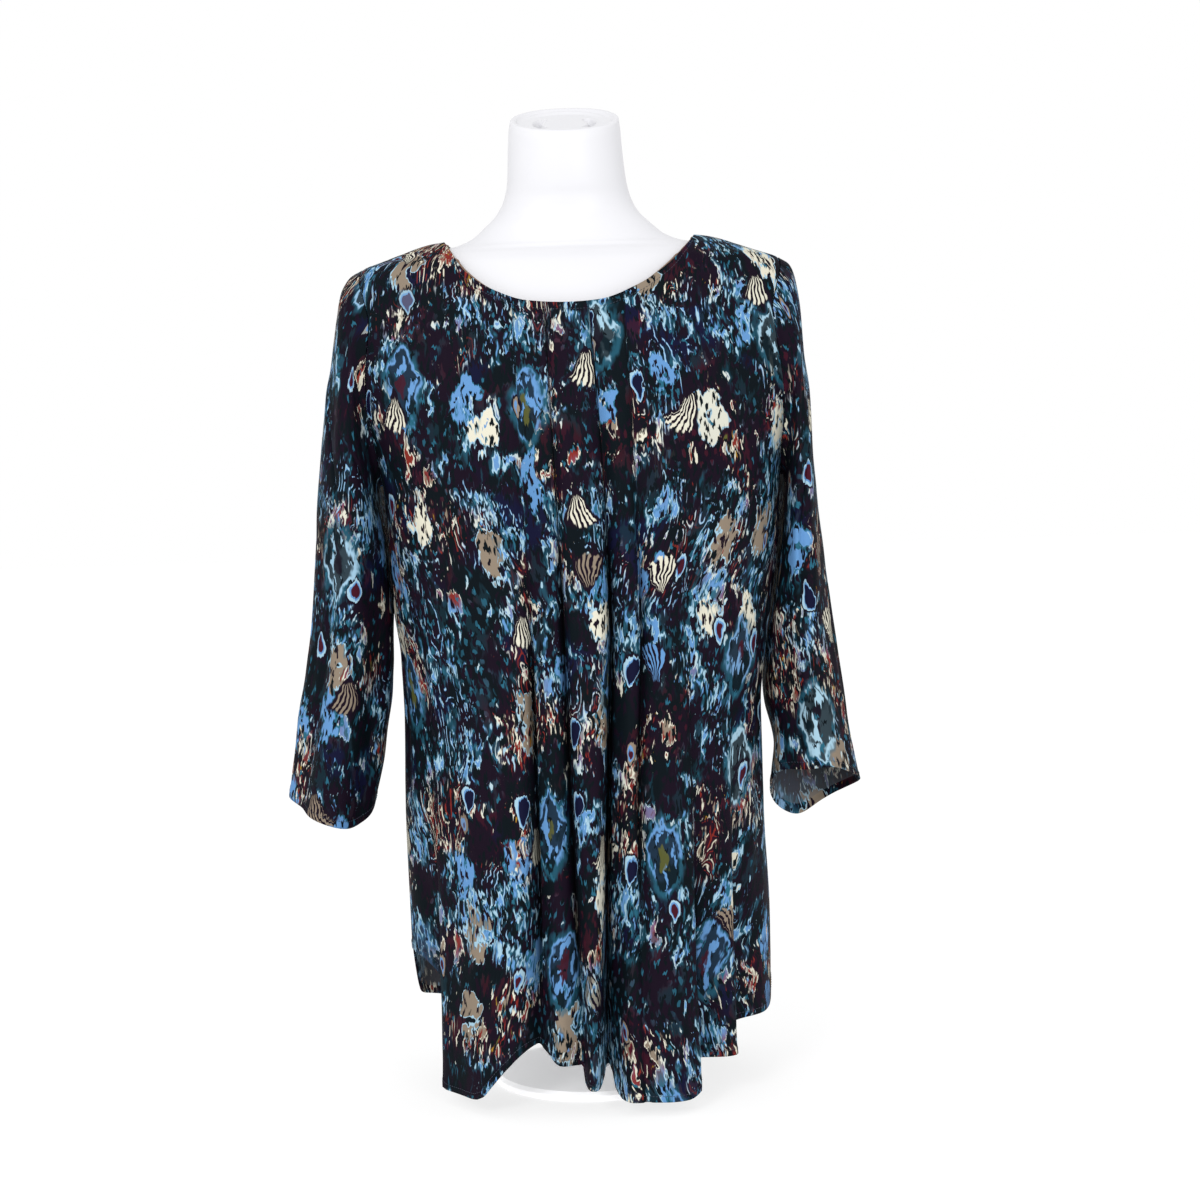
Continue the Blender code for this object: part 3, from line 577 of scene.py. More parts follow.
def panel_surface(side, across):
    """The front or back panel. Rows: y = deep * (1 - (|x| / wide)^p)^(1/p), then pushed in along the
    outline's level normal by folds, pleats and creases. Returns the grid, its places in the flat cloth and
    the painted shade along its pleats."""
    guess = np.full_like(across, 0.74)
    for _ in range(6):
        guess = top_height(side, line_position(side, across, guess))
    hem = HEM[side].at("z", across)
    slope = np.gradient(hem, line_position(side, across, hem) + 0.02 * across)
    band = hem + HEM_STEPS[:, None] * np.minimum(np.hypot(1, slope), 2.5)
    oval_part = (1 - np.cos(np.linspace(0, math.pi, TOP_ROWS + 1)))[:, None] / 2
    even_part = np.linspace(0, 1, TOP_ROWS + 1)[:, None] ** 1.7
    at_edge = np.abs(across[None, :]) ** 1.5
    top_part = oval_part * at_edge + even_part * (1 - at_edge)
    low_part = np.linspace(0, 1, LOW_ROWS + 1)[1:, None]
    z = np.vstack([
        guess[None, :] + (UNDERARM - guess[None, :]) * top_part,
        UNDERARM + (band[0] - UNDERARM) * low_part,
        band[1:],
    ])
    across = np.broadcast_to(across, z.shape)
    x = line_position(side, across, z)
    power = BODY.at("power", z)
    wide = half_width(x, z)
    deep = depth(side, z)
    y = deep * np.clip(1 - (np.abs(x) / wide) ** power, 0, 1) ** (1 / power)
    y[0] = np.where(np.abs(x[0]) >= NECK_HALF, SEAM / 2, y[0])
    for edge in (0, -1):
        y[:, edge] = edge_depth(z[:, edge])
    y = np.maximum(y, SEAM / 2)
    normal_x = np.sign(x) * (np.abs(x) / wide) ** (power - 1) / wide
    normal_y = (y / deep) ** (power - 1) / deep
    length = np.hypot(normal_x, normal_y)
    normal_x, normal_y = normal_x / length, normal_y / length
    steps = np.hypot(np.diff(x, axis=1), np.diff(y, axis=1))
    run = np.concatenate([np.zeros((len(z), 1)), np.cumsum(steps, axis=1)], 1)

    def from_line(place):
        """Each point's distance along its row from the line at this place across."""
        return run - np.array([np.interp(place, across[0], level) for level in run])[:, None]

    pushed = fold_depth(side, [from_line(row[0]) for row in FOLDS[side].rows], z)
    pleats, hidden, painted_shade = pleat_step(side, {row[0]: from_line(row[0]) for row in PLEATS[side].rows}, z)
    sideways = from_line(0.0)
    soft = np.clip((guess - z) / BELOW_SEAM, 0, 1)
    pushed += pleats + (crease_depth(CREASES[side], sideways, z) + slack(sideways, z, 2.0 + side)) * soft
    pushed = pushed * (1 - np.abs(across) ** 6)
    pushed[-6:] -= HEM_SWELL
    grid = np.stack([x - normal_x * pushed, side * (y - normal_y * pushed), z], axis=-1)
    sideways = np.hypot(*(np.diff(grid[..., k], axis=1) for k in (0, 1)))
    flat_x = np.concatenate([np.zeros((len(z), 1)), np.cumsum(sideways, axis=1)], 1) + hidden
    flat_x -= np.array([np.interp(0.0, across[0], level) for level in flat_x])[:, None]
    downs = np.linalg.norm(np.diff(grid, axis=0), axis=-1)
    flat_y = np.concatenate([np.zeros((1, z.shape[1])), np.cumsum(downs, axis=0)])
    flat_y = flat_y[TOP_ROWS] - flat_y
    return grid, np.stack([flat_x, flat_y], axis=-1), painted_shade


front_grid, front_flat, front_painted_shade = panel_surface(FRONT, panel_columns(FRONT))
back_grid, back_flat, back_painted_shade = panel_surface(BACK, panel_columns(BACK))
print("front grid", front_grid.shape, "back grid", back_grid.shape)

# %% [markdown]
# ## From a grid to a piece of cloth
#
# A grid becomes a mesh with one four-sided face for every step of it. The flat places become the piece's
# own UV map, in metres, so every pattern keeps its true size. The mesh is only the middle of the cloth: a
# Solidify modifier gives it its thickness to both sides, and puts the wrong side of the cloth in the next
# material slot, because printed rayon is paler there. The turned hem is the exception: it shows the right
# side inside too.

# %% Grid pieces
def grid_piece(name, grid, flat, finishes, turn_over=False, painted_shade=None, hem_rows=0):
    """A face for each square of the grid. Where flat has one column more than the grid, the piece closes
    round. Each point's painted shade goes along as an attribute. The hem takes the third and fourth finish."""
    columns, wide = grid.shape[1], flat.shape[1]
    r, c = np.mgrid[0:grid.shape[0] - 1, 0:wide - 1]
    corners = [(r, c), (r, c + 1), (r + 1, c + 1), (r + 1, c)]
    if turn_over:
        corners.reverse()
    faces = np.stack([a * columns + b % columns for a, b in corners], -1).reshape(-1, 4)
    places = np.stack([a * wide + b for a, b in corners], -1).ravel()
    piece = new_piece(name, grid, faces.tolist(), finishes)
    mesh = piece.data
    mesh.uv_layers.new(name="flat").uv.foreach_set("vector", flat.reshape(-1, 2)[places].ravel())
    if painted_shade is not None:
        mesh.attributes.new("painted_shade", "FLOAT", "POINT").data.foreach_set("value", painted_shade.ravel())
    if hem_rows:
        in_hem = r.ravel() >= grid.shape[0] - 1 - hem_rows
        mesh.polygons.foreach_set("material_index", np.where(in_hem, 2, 0))
    mesh.shade_smooth()
    return piece


def give_wall(piece):
    """The cloth's thickness, half to each side, with the next finish on the wrong side."""
    wall = piece.modifiers.new("wall", "SOLIDIFY")
    wall.thickness = WALL
    wall.offset = 0.0
    wall.material_offset = 1


def area_of(grid, closed=False):
    """The area of one layer: half the length of the cross product of each square's diagonals."""
    if closed:
        grid = np.concatenate([grid, grid[:, :1]], axis=1)
    across = grid[1:, 1:] - grid[:-1, :-1]
    other = grid[1:, :-1] - grid[:-1, 1:]
    return float(np.linalg.norm(np.cross(across, other), axis=-1).sum() / 2)


print("front", round(area_of(front_grid), 4), "m2, back", round(area_of(back_grid), 4), "m2")

# %% [markdown]
# ## The sleeves
#
# A sleeve is a tube of rings. The first ring is the armhole's own edge, so the seam closes whatever shape
# the panels have, and what that ring differs from an ellipse by fades out down the upper arm. Below, each
# ring is a slanted ellipse between the sleeve's outer and inner side. Lofting between drawn curves would do
# the same, but the tables keep both sleeves as they hang on the form: the left one narrow and folded, the
# right one open.

# %% Sleeve measures
# The outer and inner side of each section (distance from the middle, height), half its depth, how far its
# middle lies in front of the seam, and how far its front is lifted over its back
SLEEVES = {
    "left": Table("along out_x out_z in_x in_z deep ahead lift", """
           0  0.186 0.7405  0.175  0.546 0.055     0      0
        0.05  0.197 0.7345  0.179 0.5455 0.058     0      0
         0.1  0.205  0.722   0.18   0.54 0.061 0.001      0
        0.16   0.21    0.7   0.18  0.532 0.064 0.002      0
        0.24 0.2155  0.668  0.179   0.52 0.067 0.003      0
        0.33  0.222  0.632 0.1765  0.505 0.068 0.004      0
        0.42 0.2275   0.59 0.1745  0.485 0.068 0.005      0
        0.51 0.2328  0.545 0.1728   0.46 0.066 0.006      0
        0.61 0.2368  0.495 0.1716   0.43 0.063 0.007      0
        0.72 0.2435  0.425  0.172   0.39  0.06 0.008 -0.003
        0.82 0.2545  0.363  0.176  0.348 0.057 0.009 -0.008
        0.92  0.264  0.309  0.183  0.305 0.055  0.01 -0.013
           1  0.269  0.272  0.193  0.264 0.053 0.011 -0.018
    """),
    "right": Table("along out_x out_z in_x in_z deep ahead lift", """
           0  0.186 0.7405 0.1825  0.546 0.055     0     0
        0.05  0.195 0.7345 0.1865 0.5455 0.058     0     0
         0.1 0.2005  0.722 0.1875   0.54  0.06     0     0
        0.16  0.204    0.7  0.188  0.532 0.063     0     0
        0.24 0.2062  0.662  0.187   0.52 0.065     0     0
        0.33  0.211  0.622 0.1855  0.504 0.066     0 0.002
        0.42 0.2125  0.578 0.1835  0.484 0.066     0 0.004
        0.51  0.215  0.531 0.1795  0.458 0.065     0 0.007
        0.61 0.2205  0.476 0.1745  0.425 0.062 0.001 0.011
        0.72  0.227  0.415 0.1675  0.385  0.06 0.002 0.015
        0.82  0.235  0.357  0.166   0.35 0.058 0.003 0.019
        0.92  0.241  0.303  0.172  0.308 0.056 0.004 0.023
           1 0.2485  0.266  0.168  0.266 0.055 0.005 0.026
    """),
}

# Sleeve folds: the angle from the outer side (ahead above zero) where each starts and ends, its stretch along
# the sleeve, its depth (a ridge is below zero) and how many degrees it reaches to either side
SLEEVE_FOLDS = {
    "left": Table("start end first last depth reach", """
          62   40  0.5  1.1   0.01 20
          92  100  0.6 1.15 -0.006 30
         140  128 0.45  1.1  0.007 22
          30   70 0.18 0.52  0.004 18
         -70  -95 0.25 0.85  0.006 24
        -140 -120  0.5  1.1  0.006 24
    """),
    "right": Table("start end first last depth reach", """
          78   92  0.2 0.8 0.007 20
         125  118 0.45 1.1 0.007 22
          40   55  0.5 1.1 0.004 20
         -65  -90  0.3 0.9 0.006 24
        -135 -110 0.45 1.1 0.006 24
    """),
}

# Finer creases: angle and place along at both ends, depth, and reach in degrees and along
SLEEVE_CREASES = {
    "left": Table("angle0 along0 angle1 along1 depth reach", """
          58 0.46   36 1.02 -0.003 12
          20  0.3   95 0.52 0.0022  9
         150  0.2   60 0.34  0.002 10
         110 0.42   20 0.56 0.0022  9
         160 0.58   70 0.66 0.0018  9
          60  0.1   52  0.4 0.0016  9
         100 0.06  110  0.3 0.0018 10
          20 0.62    4    1 0.0018  8
         -30 0.34 -110  0.5 0.0022 10
         -60 0.55 -150 0.64  0.002 10
         -50  0.6  -56 1.02 0.0026 12
        -100 0.08  -90  0.4 0.0018 10
           5 0.02   10 0.22 0.0012  8
    """),
    "right": Table("angle0 along0 angle1 along1 depth reach", """
         96  0.4   84 1.02 0.0028 12
         30 0.32  100  0.5 0.0022  9
        150 0.22   70 0.36  0.002 10
        120 0.46   30 0.58  0.002  9
         60  0.6  150  0.7 0.0018  9
         50 0.08   46 0.42 0.0016  9
        110 0.05  104 0.32 0.0018 10
         28 0.64   16    1 0.0018  8
        -35 0.36 -115 0.52 0.0022 10
        -70 0.58 -150 0.68  0.002 10
        -52 0.62  -60 1.02 0.0026 12
        -95 0.07  -88 0.42 0.0018 10
         -5 0.02   -8 0.24 0.0012  8
    """),
}
print("sleeve creases:", [len(t.rows) for t in SLEEVE_CREASES.values()])

# %% Sleeve function
SLEEVE_ROWS = 168
# How the back of each sleeve leans in to the body's side: how far, and where along it starts, holds and ends
LEAN = {"left": (0.0070, 0.06, 0.20, 0.56, 0.68), "right": (0.0095, 0.06, 0.20, 0.76, 0.92)}
LEAN_ANGLE, LEAN_REACH = -2.36, 0.42
# How far the cuff drops, where on its width from the inner side, and over how much of it
CUFF_DROP = {"left": (0.0040, 0.16, 0.22), "right": (0.0100, 0.32, 0.28)}
CUFF_FROM = 0.84            # where along the sleeve the drop starts
RING_FADE = 0.22            # how far along the armhole's own shape lasts
FULL_FROM = 0.08            # from where along the sleeve its folds and creases have their full depth
LONG_CREASE = 0.25          # a crease longer than this runs down the sleeve, a shorter one round it
ROUND_REACH = 0.0022        # how far a crease round the sleeve reaches along it, for each degree
CUFF_STEPS = 1 - np.array([0.0185, 0.0143, 0.0128, 0.0110, 0.0070, 0.0030, 0.0])
# How the sleeve keeps clear of the back's armhole: the angle, its reach, how far out, and where along it ends
CLEAR_ANGLE, CLEAR_REACH, CLEAR_OUT, CLEAR_END = -1.95, 0.45, 0.0014, 0.16
BASE_SHARE, ELBOW_SHARE = 0.72, 0.46   # the rings that the flat places are measured from


def outward(grid, sign):
    """The grid's normals: the cross product of its two directions, made one long."""
    return unit(np.cross(np.gradient(grid, axis=1), np.gradient(grid, axis=0)) * sign)


def turned_between(angle, line):
    """The smaller turn between two angles, with its sign."""
    return (angle - line + math.pi) % (2 * math.pi) - math.pi


def sleeve_surface(side_name, front, back):
    """Rings from the armhole to the cuff. A ring's point at an angle: across from the inner to the outer
    side by (1 + cos) / 2, forward by deep * sin, and as high as the slanted section is there."""
    table = SLEEVES[side_name]
    sign = -1 if side_name == "left" else 1
    column = 0 if side_name == "left" else -1
    ring = np.vstack([front[: TOP_ROWS + 1, column], back[TOP_ROWS - 1:0:-1, column]])
    ring[0, 1] = ring[TOP_ROWS, 1] = 0.0
    half_turn = np.linspace(0, math.pi, TOP_ROWS + 1)
    angle = np.concatenate([half_turn, np.linspace(-math.pi, 0, TOP_ROWS + 1)[1:-1]])
    rows = np.linspace(0, CUFF_STEPS[0] ** (1 / SPREAD), SLEEVE_ROWS) ** SPREAD
    along = np.concatenate([rows, CUFF_STEPS[1:]])
    at = {name: table.at(name, along)[:, None] for name in table.names}
    out_share = (1 + np.cos(angle)) / 2
    x = at["in_x"] + (at["out_x"] - at["in_x"]) * out_share
    z = at["in_z"] + (at["out_z"] - at["in_z"]) * out_share
    z = z + at["lift"] * np.sin(angle) * (1 - CUFF_SKEW * np.cos(angle))
    drop, drop_place, drop_reach = CUFF_DROP[side_name]
    low = between(along[:, None], CUFF_FROM, 1)
    z = z - drop * low ** 2 * np.exp(-((out_share - drop_place) / drop_reach) ** 2)
    y = -at["ahead"] - at["deep"] * np.sin(angle)
    points = np.stack([sign * x, y + 0 * x, z], axis=-1)
    down = np.clip(-np.cos(angle), 0, 1)
    step = np.stack([sign * (0.45 + 0.55 * out_share), 0.3 * np.sin(angle), down], axis=-1)
    fade = np.clip(1 - along / RING_FADE, 0, 1)[:, None, None] ** 2
    points = points + (ring + step * SEAM_STEP - points[0])[None] * fade
    inward = points.mean(axis=1, keepdims=True) - points
    inward[..., 2] *= 0.3
    inward = unit(inward)
    pushed = np.zeros(points.shape[:2])
    for start, end, first, last, deep, reach in SLEEVE_FOLDS[side_name].rows:
        t = between(along, first, last)[:, None]
        line = np.radians(start + (end - start) * t)
        turn = np.abs(turned_between(angle, line)) / math.radians(reach * FOLD_FLANK)
        pushed += deep * np.sin(math.pi * t) ** 0.8 * np.clip(1 - turn * turn, 0, 1) ** 3
    for angle0, along0, angle1, along1, deep, reach in SLEEVE_CREASES[side_name].rows:
        if along1 - along0 > LONG_CREASE:
            t = between(along, along0, along1)[:, None]
            line = np.radians(angle0 + (angle1 - angle0) * t)
            gap = np.abs(turned_between(angle, line)) / math.radians(reach)
        else:
            turn = turned_between(angle, math.radians(angle0))
            t = np.clip(turn / math.radians(angle1 - angle0), 0, 1)
            gap = np.abs(along[:, None] - along0 - (along1 - along0) * t) / (ROUND_REACH * reach)
        pushed += deep * np.sin(math.pi * t) ** 0.7 * np.clip(1 - gap ** 2, 0, 1) ** 2
    pushed += slack(0.07 * np.cos(angle), 0.45 * along[:, None], 5.0 + sign) * 1.4
    pushed *= np.clip(along / FULL_FROM, 0, 1)[:, None]
    pushed[-6:] -= HEM_SWELL
    points = points + inward * pushed[..., None]
    deep, start, full, hold, end = LEAN[side_name]
    leaning = eased(between(along, start, full) * between(along, end, hold))[:, None]
    points[..., 0] -= sign * deep * leaning * np.exp(-(turned_between(angle, LEAN_ANGLE) / LEAN_REACH) ** 2)
    clear = np.cos(math.pi / 2 * np.clip(along / CLEAR_END, 0, 1))[:, None]
    clear = clear * np.exp(-(turned_between(angle, CLEAR_ANGLE) / CLEAR_REACH) ** 2)
    points[..., 0] += sign * CLEAR_OUT * clear
    return points


def sleeve_places(grid, sign):
    """The sleeve opened along its inner seam and laid flat. On the surface, one direction runs level and
    the other rises at a right angle to it. The rising parts of the steps are added up along one ring, then
    up and down the columns; the level parts along each ring, and above the elbow, where the rings stand
    upright, up the columns."""
    half = TOP_ROWS
    opened = np.concatenate([grid[:, half:], grid[:, :half + 1]], axis=1)
    wide = np.concatenate([opened[:, -3:-1], opened, opened[:, 1:3]], axis=1)
    normal = outward(wide, sign)[:, 2:-2]
    level = unit(np.cross(normal, np.array([0.0, 0.0, -float(sign)])))
    rise = np.cross(level, normal) * sign
    base, elbow = (int(len(grid) * part) for part in (BASE_SHARE, ELBOW_SHARE))

    def steps(way, down):
        """The part of every step down the columns, or along the rings, that goes this way."""
        mean = way[1:] + way[:-1] if down else way[:, 1:] + way[:, :-1]
        return (np.diff(opened, axis=0 if down else 1) * mean / 2).sum(axis=-1)

    def upwards(parts):
        """The sum of these steps from each row to the last one."""
        return np.cumsum(parts[::-1], axis=0)[::-1]

    flat = np.zeros(opened.shape[:2] + (2,))
    flat[:, 1:, 0] = np.cumsum(steps(level, False), axis=1)
    flat[..., 0] -= flat[:, half: half + 1, 0]
    flat[:elbow, :, 0] = flat[elbow, :, 0] - upwards(steps(level, True)[:elbow])
    flat[:elbow, :, 0] -= flat[:elbow, half: half + 1, 0]
    flat[base, 1:, 1] = np.cumsum(steps(rise, False)[base])
    rising = steps(rise, True)
    flat[base + 1:, :, 1] = flat[base, :, 1] + np.cumsum(rising[base:], axis=0)
    flat[:base, :, 1] = flat[base, :, 1] - upwards(rising[:base])
    return opened[:, :-1], flat


sleeves = {}
for name in ("left", "right"):
    made = sleeve_surface(name, front_grid, back_grid)
    sleeves[name] = sleeve_places(made, -1 if name == "left" else 1)
    print("sleeve", name, sleeves[name][0].shape, round(area_of(sleeves[name][0], closed=True), 4), "m2")

# %% [markdown]
# ## The neck facing
#
# The raw edge of the neck is turned in over a strip nine millimetres wide, which shows as a thin brown edge
# inside the scoop at both sides of the neck, where it rolls up a little. It could be an offset of the
# neckline curve, but that would cut through the panels where they bend. Each of its points is found under
# the panels instead: so far down a panel's column, then inwards along the panel's own normal, by the
# cloth's thickness and a little air.

# %% Facing function
FACING_SHARES = np.array([0.04, 0.18, 0.35, 0.55, 0.78, 1.0])
FACING_MARGIN = 0.001                # how far inside the neck's corners the strip follows the panels
ROLL_FROM, ROLL_OVER = 0.055, 0.04   # how far from the middle the strip starts to roll out, and over how much
ROLL_UP = (0.0036, 0.0012)           # how far its first two rows roll up towards the edge at the side necks


def at_distance(where, run, values):
    """The values, points or directions, at these distances along a line whose points lie at run."""
    return np.stack([np.interp(where, run, values[:, k]) for k in range(3)], axis=-1)


def facing_surface(grids):
    """A closed strip: left shoulder corner, along the front, right corner, back along the back."""
    widths = FACING_SHARES * FACING_WIDTH
    corner = np.array([[NECK_HALF + w, 0.0, SHOULDER.at("z", NECK_HALF + w)] for w in widths])
    inside = WALL + SEAM + FACING_EASE
    corner[:, 2] -= inside
    strips = []
    for side, whole in zip((FRONT, BACK), grids):
        grid = whole[:20]
        open_part = np.flatnonzero(np.abs(grid[0, :, 0]) < NECK_HALF - FACING_MARGIN)
        normal = outward(grid, side)
        strip = []
        for c in open_part:
            point, out = (at_distance(widths, along_line(grid[:, c]), a[:, c]) for a in (grid, normal))
            strip.append(point - out * inside)
        strips.append(np.stack(strip, axis=1))
    mirrored = corner * np.array([-1.0, 1.0, 1.0])
    return np.concatenate([mirrored[:, None], strips[0], corner[:, None], strips[1][:, ::-1]], axis=1)


facing_grid = facing_surface((front_grid, back_grid))
roll = np.clip((np.abs(facing_grid[0, :, 0]) - ROLL_FROM) / ROLL_OVER, 0, 1)[:, None]
up_slope = unit(facing_grid[0] - facing_grid[1])
for row, rolled in enumerate(ROLL_UP):
    facing_grid[row] += rolled * roll * up_slope
facing_x = along_line(np.concatenate([facing_grid[0], facing_grid[0, :1]]))
facing_down = -FACING_SHARES * FACING_WIDTH
facing_flat = np.stack(np.broadcast_arrays(facing_x[None, :], facing_down[:, None]), axis=-1)
print("neck opening", round(float(facing_x[-1]), 3), "m round, facing", facing_grid.shape)

# %% [markdown]
# ## Stitches
#
# Machine stitches hold the neck, the hem and the cuffs: dark thread, each stitch about two millimetres
# long. A texture could draw them, but a line of stitches catches the light on its own, and it stays sharp
# close up. A stitch is a little bar that is thick in its middle, and the same bar is repeated along a line
# on the cloth.

# %% Stitch function
def ring_faces(rings, columns):
    """Squares between closed rings, each with the next one."""
    ring, corner = np.mgrid[0:rings - 1, 0:columns]
    after = (corner + 1) % columns
    here, above = ring * columns, (ring + 1) * columns
    return np.stack([here + corner, here + after, above + after, above + corner], -1).reshape(-1, 4)


PITCH, STITCH_LENGTH, STITCH_THICK = 0.003, 0.0022, 0.00022
STITCH_LIFT = WALL / 2 + 0.00012     # from the middle of the cloth to the middle of a stitch
NECK_STITCH, NECK_MARGIN = 0.007, 0.002   # from the neck's edge down to its stitches, and from its corners
HEM_STITCH = -4                      # the row of a panel or sleeve that is stitched


def stitch_line(line, out):
    """Bars along a line. Ring s of a bar, from -1 to 1, is a hexagon as wide as thick * (1 - 0.8 s^4)."""
    run = along_line(line)
    centres = np.arange(PITCH / 2, run[-1] - PITCH / 2, PITCH)
    start, end = (at_distance(centres + way * STITCH_LENGTH / 2, run, line) for way in (-1, 1))
    forward = unit(end - start)
    up = at_distance(centres, run, out)
    up = unit(up - forward * (up * forward).sum(axis=1, keepdims=True))
    side = np.cross(forward, up)
    s = np.array([-1.0, -0.55, 0.0, 0.55, 1.0])
    turn = np.linspace(0, 2 * math.pi, 6, endpoint=False)
    wide = (STITCH_THICK * (1 - 0.8 * s ** 4))[:, None]
    ahead = s[:, None] * STITCH_LENGTH / 2 + 0 * turn
    shape = [a[None, ..., None] for a in (ahead, wide * np.cos(turn), wide * np.sin(turn))]
    axes = [a[:, None, None, :] for a in (forward, up, side)]
    points = ((start + end) / 2)[:, None, None, :] + sum(c * a for c, a in zip(shape, axes))
    first = (np.arange(len(centres)) * 30)[:, None]
    sides = (ring_faces(5, 6)[None] + first[..., None]).reshape(-1, 4).tolist()
    ends = (np.arange(5, -1, -1) + first).tolist() + (np.arange(24, 30) + first).tolist()
    return points.reshape(-1, 3), sides + ends


def stitched(name, lines, finish):
    """One piece of all the stitches along these lines, each a pair of points and outward directions."""
    points, faces = [], []
    for line, out in lines:
        start = sum(len(p) for p in points)
        made, sides = stitch_line(line, out)
        points.append(made)
        faces += [[start + i for i in face] for face in sides]
    piece = new_piece(name, np.vstack(points), faces, [finish])
    piece.data.shade_smooth()
    print(name, len(faces), "faces")
    return piece


def line_below_top(grid, normal, keep):
    """The line of the neck's stitches, so far down each kept column, just proud of the cloth."""
    line, out = [], []
    for c in keep:
        down = along_line(grid[:40, c])
        point, up = (at_distance(NECK_STITCH, down, a[:40, c]) for a in (grid, normal))
        line.append(point + up * STITCH_LIFT)
        out.append(up)
    return np.array(line), np.array(out)


# %% [markdown]
# ## The torso form
#
# The form is a smooth white shell without head, arms or legs, on a post. Only its shoulders and its neck
# show above the blouse, and the neck ends in a slanted, dished top with a raised rim at the back and two
# curved slots, where a hanger can be hooked in. The CAD rings are kept, and smooth curves from ring to ring
# and round each ring give it four times as many.

# %% Form measures
# The torso form, a general figure, as level rings; shift is how far a ring's middle lies behind the seam
# line, and slant how much its height rises towards the back
FORM = Table("z left right front back shift slant", """
      0.14   0.07   0.07   0.04 0.042      0    0
     0.143  0.098  0.098  0.056  0.06      0    0
     0.153  0.124  0.124  0.074  0.08      0    0
     0.175   0.14   0.14  0.086 0.094      0    0
      0.21 0.1475 0.1475  0.092 0.101      0    0
      0.26 0.1475  0.146  0.094 0.103      0    0
      0.32   0.14  0.138   0.09 0.095      0    0
      0.38   0.13   0.13  0.083 0.082      0    0
      0.43  0.126  0.126  0.081 0.072      0    0
      0.49  0.133  0.133  0.091 0.073      0    0
      0.55  0.146  0.146  0.107 0.082      0    0
      0.59  0.154  0.154  0.114 0.088      0    0
      0.63  0.162  0.162  0.108 0.092      0    0
      0.67   0.17   0.17   0.09 0.089      0    0
       0.7  0.175  0.175  0.075 0.081      0    0
      0.72 0.1765 0.1765  0.067 0.073      0    0
     0.735  0.176  0.176   0.06 0.065      0    0
     0.743   0.17   0.17  0.055 0.059      0    0
      0.75 0.1535 0.1535  0.048 0.052      0    0
     0.754  0.133  0.133 0.0442 0.046  0.001    0
    0.7565  0.117  0.117 0.0432 0.043  0.001    0
     0.759  0.104  0.103 0.0428 0.042  0.002    0
     0.765  0.089  0.087 0.0425 0.042  0.003    0
     0.776  0.076 0.0735  0.042 0.044  0.004    0
     0.787  0.065 0.0625  0.041 0.043  0.004 0.02
       0.8  0.058  0.056  0.041 0.043  0.003 0.06
     0.815 0.0545 0.0525  0.042 0.043  0.001 0.14
      0.84  0.053   0.05  0.043 0.043 -0.001 0.26
     0.862 0.0515 0.0485  0.043 0.043 -0.003 0.36
    0.8705   0.05 0.0475  0.042 0.042 -0.004 0.38
""")
FORM_POWER = 2.15
# The dished neck top: how much of the last ring's size each step keeps, and how far it lies above that ring
NECK_TOP = Table("keep rise", """
    0 -0.003   0.1 -0.003   0.6 -0.0028   0.84 -0.002   0.92 0.001   0.975 0.0012   1 0
""")
FORM_SIDES = 144
FORM_FINER = 4
SLOT_SHARE, SLOT_HALF_WIDE, SLOT_HALF_TURN, SLOT_DEEP, SLOT_SOFT = 0.50, 0.085, 0.62, 0.007, 0.03
# The ridge at the back of the dish: its height, place, width and half its turn
RIDGE_HIGH, RIDGE_SHARE, RIDGE_WIDE, RIDGE_TURN = 0.0022, 0.80, 0.045, 1.15


# %% Form function
def form_surface():
    """Rings x = wide * cos^(2/p), y = deep * sin^(2/p), with smooth curves through the table from ring to
    ring; the top goes on as smaller copies of the last ring, pressed down in two curved slots."""
    angle = np.linspace(0, 2 * math.pi, FORM_SIDES, endpoint=False)
    cosine, sine = np.cos(angle), np.sin(angle)
    keep = 2 / FORM_POWER
    round_x = np.sign(cosine) * np.abs(cosine) ** keep
    round_y = np.sign(sine) * np.abs(sine) ** keep
    count = len(FORM.rows)
    ring = np.linspace(0, count - 1, (count - 1) * FORM_FINER + 1)
    at = {name: smooth_curve(range(count), FORM.columns[name], ring)[:, None] for name in FORM.names}
    x = round_x * np.where(cosine < 0, at["left"], at["right"])
    y = at["shift"] + round_y * np.where(sine < 0, at["front"], at["back"])
    body = np.stack([x, y, at["z"] + at["slant"] * y], axis=-1)
    rim = body[-1]
    middle = rim.mean(axis=0)
    share = np.concatenate([np.linspace(0.985, 0.86, 10), np.linspace(0.84, 0.02, 44)])[:, None]
    back_arc = np.clip(1 - (turned_between(angle, math.pi / 2) / RIDGE_TURN) ** 2, 0, 1)
    ridge = RIDGE_HIGH * back_arc * np.exp(-((share - RIDGE_SHARE) / RIDGE_WIDE) ** 2)
    rise = NECK_TOP.at("rise", share) + ridge
    slot_turn = np.minimum(np.abs(turned_between(angle, 0.0)), np.abs(turned_between(angle, math.pi)))
    from_slot = np.hypot(np.clip(slot_turn - SLOT_HALF_TURN, 0, 9) * share, share - SLOT_SHARE)
    rise = rise - SLOT_DEEP * eased(np.clip((SLOT_HALF_WIDE - from_slot) / SLOT_SOFT, 0, 1))
    top = middle + (rim - middle) * share[..., None] + rise[..., None] * np.array([0.0, 0.0, 1.0])
    foot = body[0].mean(axis=0)
    under = foot + (body[0] - foot) * np.linspace(0.02, 0.95, 8)[:, None, None]
    return np.concatenate([under, body, top])


def closed_form(name, grid, finish):
    """A solid from rings: squares between the rings, and a many-sided face at each end."""
    rows, columns = grid.shape[:2]
    ends = [list(range(columns - 1, -1, -1)), list(range((rows - 1) * columns, rows * columns))]
    piece = new_piece(name, grid, ring_faces(rows, columns).tolist() + ends, [finish])
    piece.data.shade_smooth()
    return piece


form_grid = form_surface()
print("form rings", form_grid.shape, "top at", round(float(form_grid[..., 2].max()), 4), "m")

